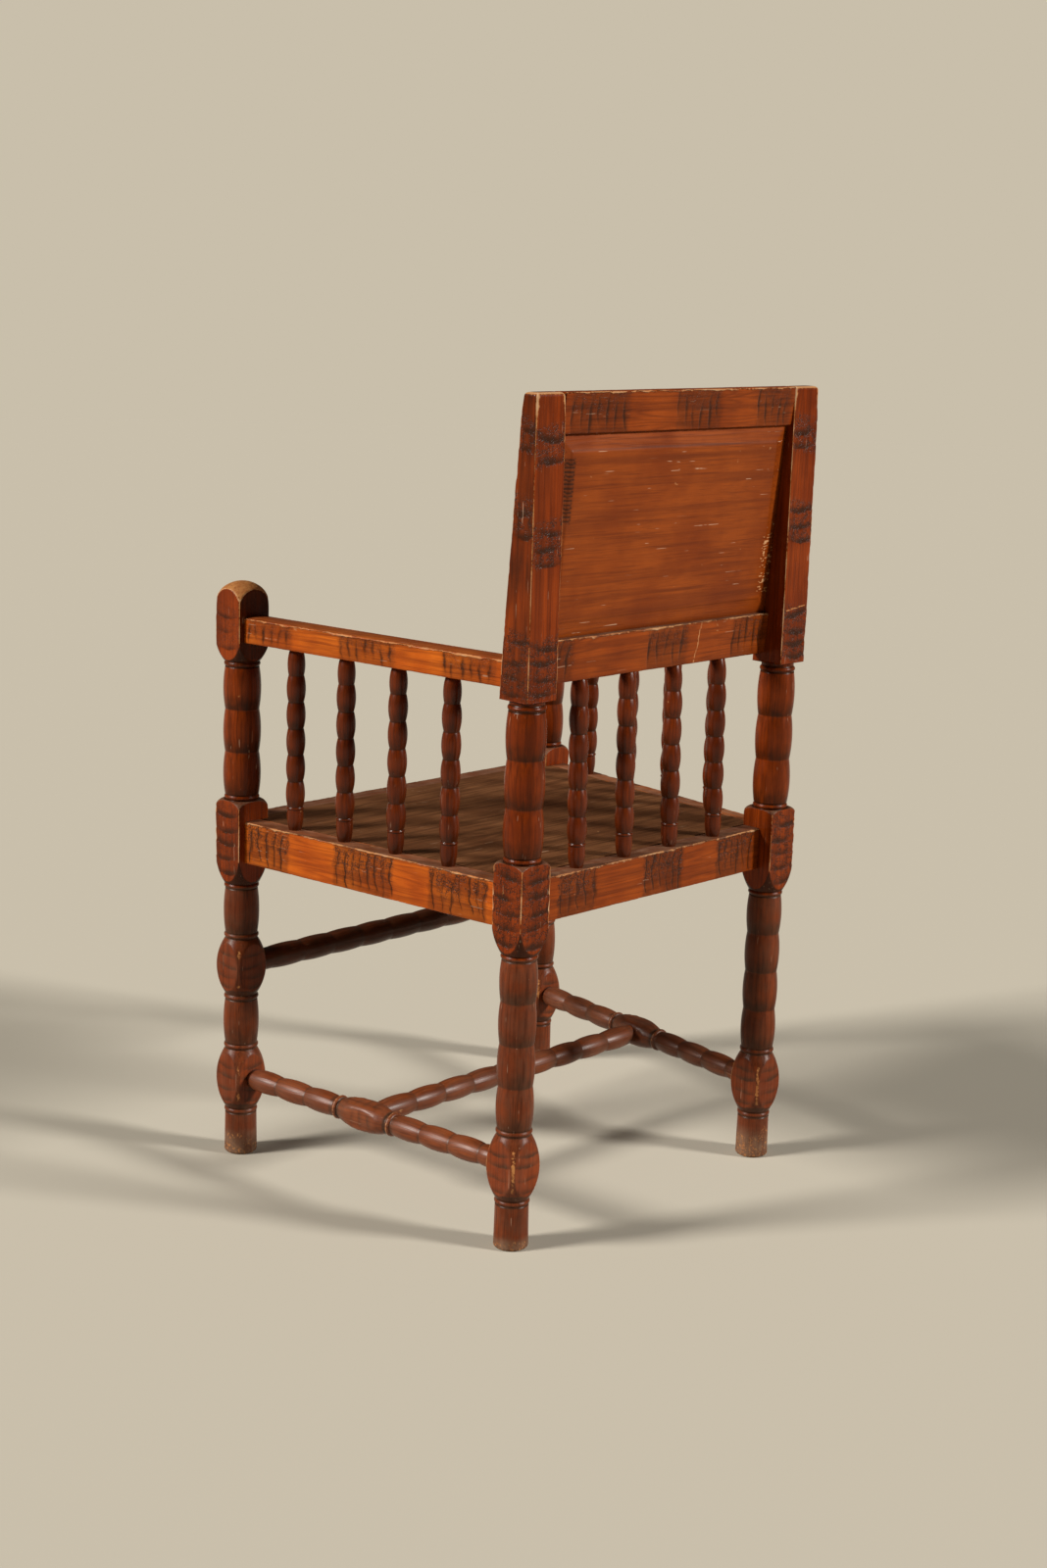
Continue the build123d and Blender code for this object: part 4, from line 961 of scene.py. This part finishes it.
def build_rails():
    ledge, drop = REBATE
    rail = [(RAIL_HALF, -RAIL_DEEP), (RAIL_HALF, 0), (-ledge, 0), (-ledge, -drop),
            (-RAIL_HALF, -drop), (-RAIL_HALF, -RAIL_DEEP)]
    c, s = math.cos(SIDE_ANGLE), math.sin(SIDE_ANGLE)

    def side_ends(u, v):
        return (-RAIL_REACH - JOINT - u * s) / c, (RAIL_REACH + JOINT - u * s) / c

    for side, mirror in SIDES:
        seed = 101 if mirror else 93
        bar("seat_rail_" + side, side_place(SEAT_TOP), rail, side_ends, 1.4,
            gouged([(0, 1)], [(-202, -128), (-53, 42), (100, 190)], 4.0, seed, 0.85, 1.0),
            seed, mirror=mirror, dusty=((1, 0.85),))

    def across_ends(half):
        return lambda u, v: (np.full_like(u, -half - JOINT), np.full_like(u, half + JOINT))

    bar("seat_rail_rear", across_place(REAR_RAIL_Y, SEAT_TOP), rail, across_ends(CROSS_REACH), 1.5,
        gouged([(0, 1)], [(-170, -105), (-20, 54), (118, 190)], 4.0, 111, 0.85, 1.0),
        111, finish="cross_rail_wood", dusty=((1, 0.85),))
    front = [(-a, b) for a, b in rail][::-1]
    bar("seat_rail_front", across_place(FRONT_AXIS[1], SEAT_TOP), front, across_ends(FRONT_REACH), 1.5,
        gouged([(4, -1)], [(-235, -160), (-40, 45), (150, 232)], 4.0, 119, 0.85, 1.0),
        119, worn=(4,), finish="cross_rail_wood", dusty=((3, 0.85),))

    arm = [(ARM_HALF, 0), (ARM_HALF, ARM_THICK), (-ARM_HALF, ARM_THICK), (-ARM_HALF, 0)]

    def arm_ends(u, v):
        face = BACK_FRONT_Y + (ARM_UNDER + v - BACK_BLOCK) * POST_RAKE
        return (-RAIL_REACH - JOINT - u * s) / c, (face + JOINT - u * s) / c

    def crown(u, v, w):
        return u, v + np.where(v > 20, ARM_CROWN * (1 - (u / ARM_HALF) ** 2), 0)

    for side, mirror in SIDES:
        seed = 137 if mirror else 129
        bar("arm_" + side, side_place(ARM_UNDER, 0.0, 1.0), arm, arm_ends, 1.5,
            gouged([(0, 1), (2, -1)], [(-200, -122), (-47, 45), (115, 198)], 3.0, seed,
                   0.9, 0.4, cupped=True),
            seed, mirror=mirror, top=crown, dusty=((1, 0.3),))

    back = across_ends(CROSS_REACH)
    lower = [(0, -LOWER_RAIL_HALF), (0, LOWER_RAIL_HALF), (-BACK_THICK, LOWER_RAIL_HALF),
             (-BACK_THICK, -LOWER_RAIL_HALF)]
    bar("back_lower_rail", back_place(), lower, back, 1.5,
        gouged([(0, 1), (2, -1)], [(-200, -150), (-22, 52), (135, 198)], 3.5, 151,
               0.8, 0.6, cupped=True, nicks=[(70.0, 5.0)]),
        151, finish="cross_rail_wood", dusty=((1, 0.9),))
    foot, rear_top, front_top = UPPER_RAIL
    upper = [(0, foot), (0, rear_top), (-BACK_THICK, front_top), (-BACK_THICK, foot)]
    bar("back_top_rail", back_place(), upper, back, 1.5,
        gouged([(0, 1), (2, -1)], [(-193, -95), (-15, 68), (132, 198)], 3.5, 163,
               0.8, 0.4, cupped=True),
        163, worn=(1, 2), finish="cross_rail_wood")


def build_panel():
    """Raised panel: a flat field inside a bevel, tooled at the ends and scratched."""
    (rear_face, front_face), (foot, head) = PANEL_OUT, PANEL_RISE
    slab = [(rear_face, foot), (rear_face, head), (front_face, head), (front_face, foot)]

    def ends(u, v):
        return np.full_like(u, -206.0), np.full_like(u, 206.0)

    def decorate(side, w, across):
        height = (foot + head) / 2 + across * (head - foot) / 2
        from_side = CROSS_REACH - np.abs(w)
        edge = np.minimum(from_side, np.minimum(height - LOWER_RAIL_HALF, UPPER_RAIL[0] - height))
        bevel = np.where(edge < BEVEL, FIELD_STEP + BEVEL_DROP * np.clip(1 - edge / BEVEL, 0, 1), 0)
        step_end = BEVEL + 0.4
        bevel = np.where((edge >= BEVEL - 0.6) & (edge < step_end), FIELD_STEP * (step_end - edge), bevel)
        rear = np.broadcast_to(side == 0, w.shape)
        tooled = smooth((30 - from_side) / 5)
        right_end, left_end = zone_mask(height, [(50, 130)], 14), zone_mask(height, [(158, 236)], 14)
        rough = tooled * np.where(w < 0, left_end, right_end)
        ripple = smooth(np.sin(height * 1.35 + 3 * noise1(w / 4.0, 5)) * 1.4 - 0.1) * rough
        depth = np.where(rear, np.maximum(bevel, 0) + 0.5 * ripple, 0)
        dark = rough * np.where(w < 0, 0.85, 0.1) * (0.4 + 0.6 * ripple) + 0.45 * smooth((5 - edge) / 6)
        dark = np.maximum(dark, 0.3 * (edge < BEVEL) * bell((edge - BEVEL + 0.5) / 2.0))
        ticks = 0.8 * rough * (w > 0) * smooth((noise2(w / 7.0, height / 1.2, 8) - 0.57) * 6)
        seam = smooth((30 - height) / 5) * 0.25
        return depth, np.where(rear, dark, 0), np.zeros_like(w), np.where(rear, np.maximum(ticks, seam), 0)

    bar("back_panel", back_place(), slab, ends, 1.6, decorate, 177, "panel_wood", worn=())


def lengthwise(y, z):
    """Frame of a round bar across the chair: W toward the sitter's left."""
    return ((0, y, z), (0, 1, 0), (0, 0, 1), (1, 0, 0))


def build_turned():
    arm_length = ARM_UNDER - SEAT_TOP
    for number in range(4):
        y = -133.0 + SPINDLE_PITCH * number
        for side, mirror in SIDES:
            seed = 201 + number * 3 + (40 if mirror else 0)
            name = "arm_spindle_" + side + "_" + str(number + 1)
            place = ((side_x(y), y, SEAT_TOP), (1, 0, 0), (0, 1, 0), (0, 0, 1))
            turned_bar(name, place, spindle_shape(arm_length), "spindle_wood", seed, 32, 0.34, mirror=mirror)
    middle = BACK_THICK / 2
    top_z = LOWER_RAIL_Z - LOWER_RAIL_HALF * math.cos(FRAME_RAKE) + middle * math.sin(FRAME_RAKE)
    rise, back = top_z - SEAT_TOP, 5.0
    lean = math.atan(back / rise)
    for number in range(4):
        x = (number - 1.5) * BACK_SPINDLE_PITCH
        place = ((x, 216.5, SEAT_TOP), (1, 0, 0), (0, math.cos(lean), math.sin(lean)),
                 (0, -math.sin(lean), math.cos(lean)))
        name = "back_spindle_" + str(number + 1)
        turned_bar(name, place, spindle_shape(math.hypot(rise, back)), "spindle_wood",
                   301 + number * 3, 32, 0.3)

    neck, belly = STRETCHER_NECK, STRETCHER_BELLY
    block = (STRETCHER_MIDDLE_Y - STRETCHER_BLOCK_LONG, STRETCHER_MIDDLE_Y + STRETCHER_BLOCK_LONG)
    reach = RAIL_REACH + 2.0
    runs = bellies(-reach, block[0] - RING_HALF, 3, neck, belly) + ring(block[0], 15.4)
    runs += between(*block, 1, neck, 21.0) + ring(block[1], 15.4)
    runs += bellies(block[1] + RUN_START, 182.0, 3, neck, belly) + [(13.8, 194.0, neck, reach)]
    shape = outline((neck, -reach), runs, 1.3)
    for side, mirror in SIDES:
        turned_bar("side_stretcher_" + side, side_place(STRETCHER_Z), shape, "stretcher_wood",
                   341 + (9 if mirror else 0), 56, 0.4 if mirror else 0.12, STRETCHER_BLOCK, mirror,
                   gold=block, dull=0.28)
    reach = side_x(STRETCHER_MIDDLE_Y) - STRETCHER_BLOCK + 1.6
    run = [(neck, -reach + 8)] + bellies(-reach + 8, reach - 8, 9, neck, belly) + [(neck, reach)]
    shape = outline((neck, -reach), run, 1.3)
    turned_bar("cross_stretcher", lengthwise(STRETCHER_MIDDLE_Y, STRETCHER_Z), shape,
               "stretcher_wood", 361, 48, 0.32, dull=0.28)
    neck, reach = 14.4, FRONT_REACH + 0.5
    shape = outline((neck, -reach), bellies(-232.0, 232.0, 9, neck, 15.8) + [(neck, reach)], 1.5)
    # The front stretcher is made dark with a high base darkness and the spindles' darker wood: partly its
    # stain, partly painted shade from under the seat.
    turned_bar("front_stretcher", lengthwise(FRONT_AXIS[1], FRONT_STRETCHER_Z), shape,
               "stretcher_wood", 367, 48, 0.62, finish="spindle_wood", dull=0.15)


def steel():
    m, t, shader = new_material("screw_steel")
    co = node(t, "ShaderNodeTexCoord").outputs["Object"]
    grime = node(t, "ShaderNodeTexNoise", {"Vector": co, "Scale": 400.0, "Detail": 3.0}).outputs["Fac"]
    t.links.new(mix(t, ramp(t, grime, 0.4, 0.65), (0.42, 0.40, 0.37), (0.16, 0.10, 0.07)),
                shader.inputs["Base Color"])
    shader.inputs["Metallic"].default_value = 1.0
    t.links.new(math_node(t, "ADD", 0.3, math_node(t, "MULTIPLY", grime, 0.35)), shader.inputs["Roughness"])
    return m


def dress(kept, material):
    kept.data.materials.clear()
    kept.data.materials.append(material)


def dress_kept_nodes():
    """The pieces that keep their CAD meshes: the seat board, the blocks under it, screws and dowels."""
    metal = steel()
    for name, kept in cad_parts.items():
        if name == "seat_board":
            dress(kept, MATERIALS["seat_wood"])
        elif name.endswith("screws"):
            dress(kept, metal)
        elif name.startswith("corner_block") or name.endswith("dowels"):
            dress(kept, MATERIALS["block_wood"])


make_camera()
make_studio()
build_posts()
build_rails()
build_panel()
build_turned()
dress_kept_nodes()
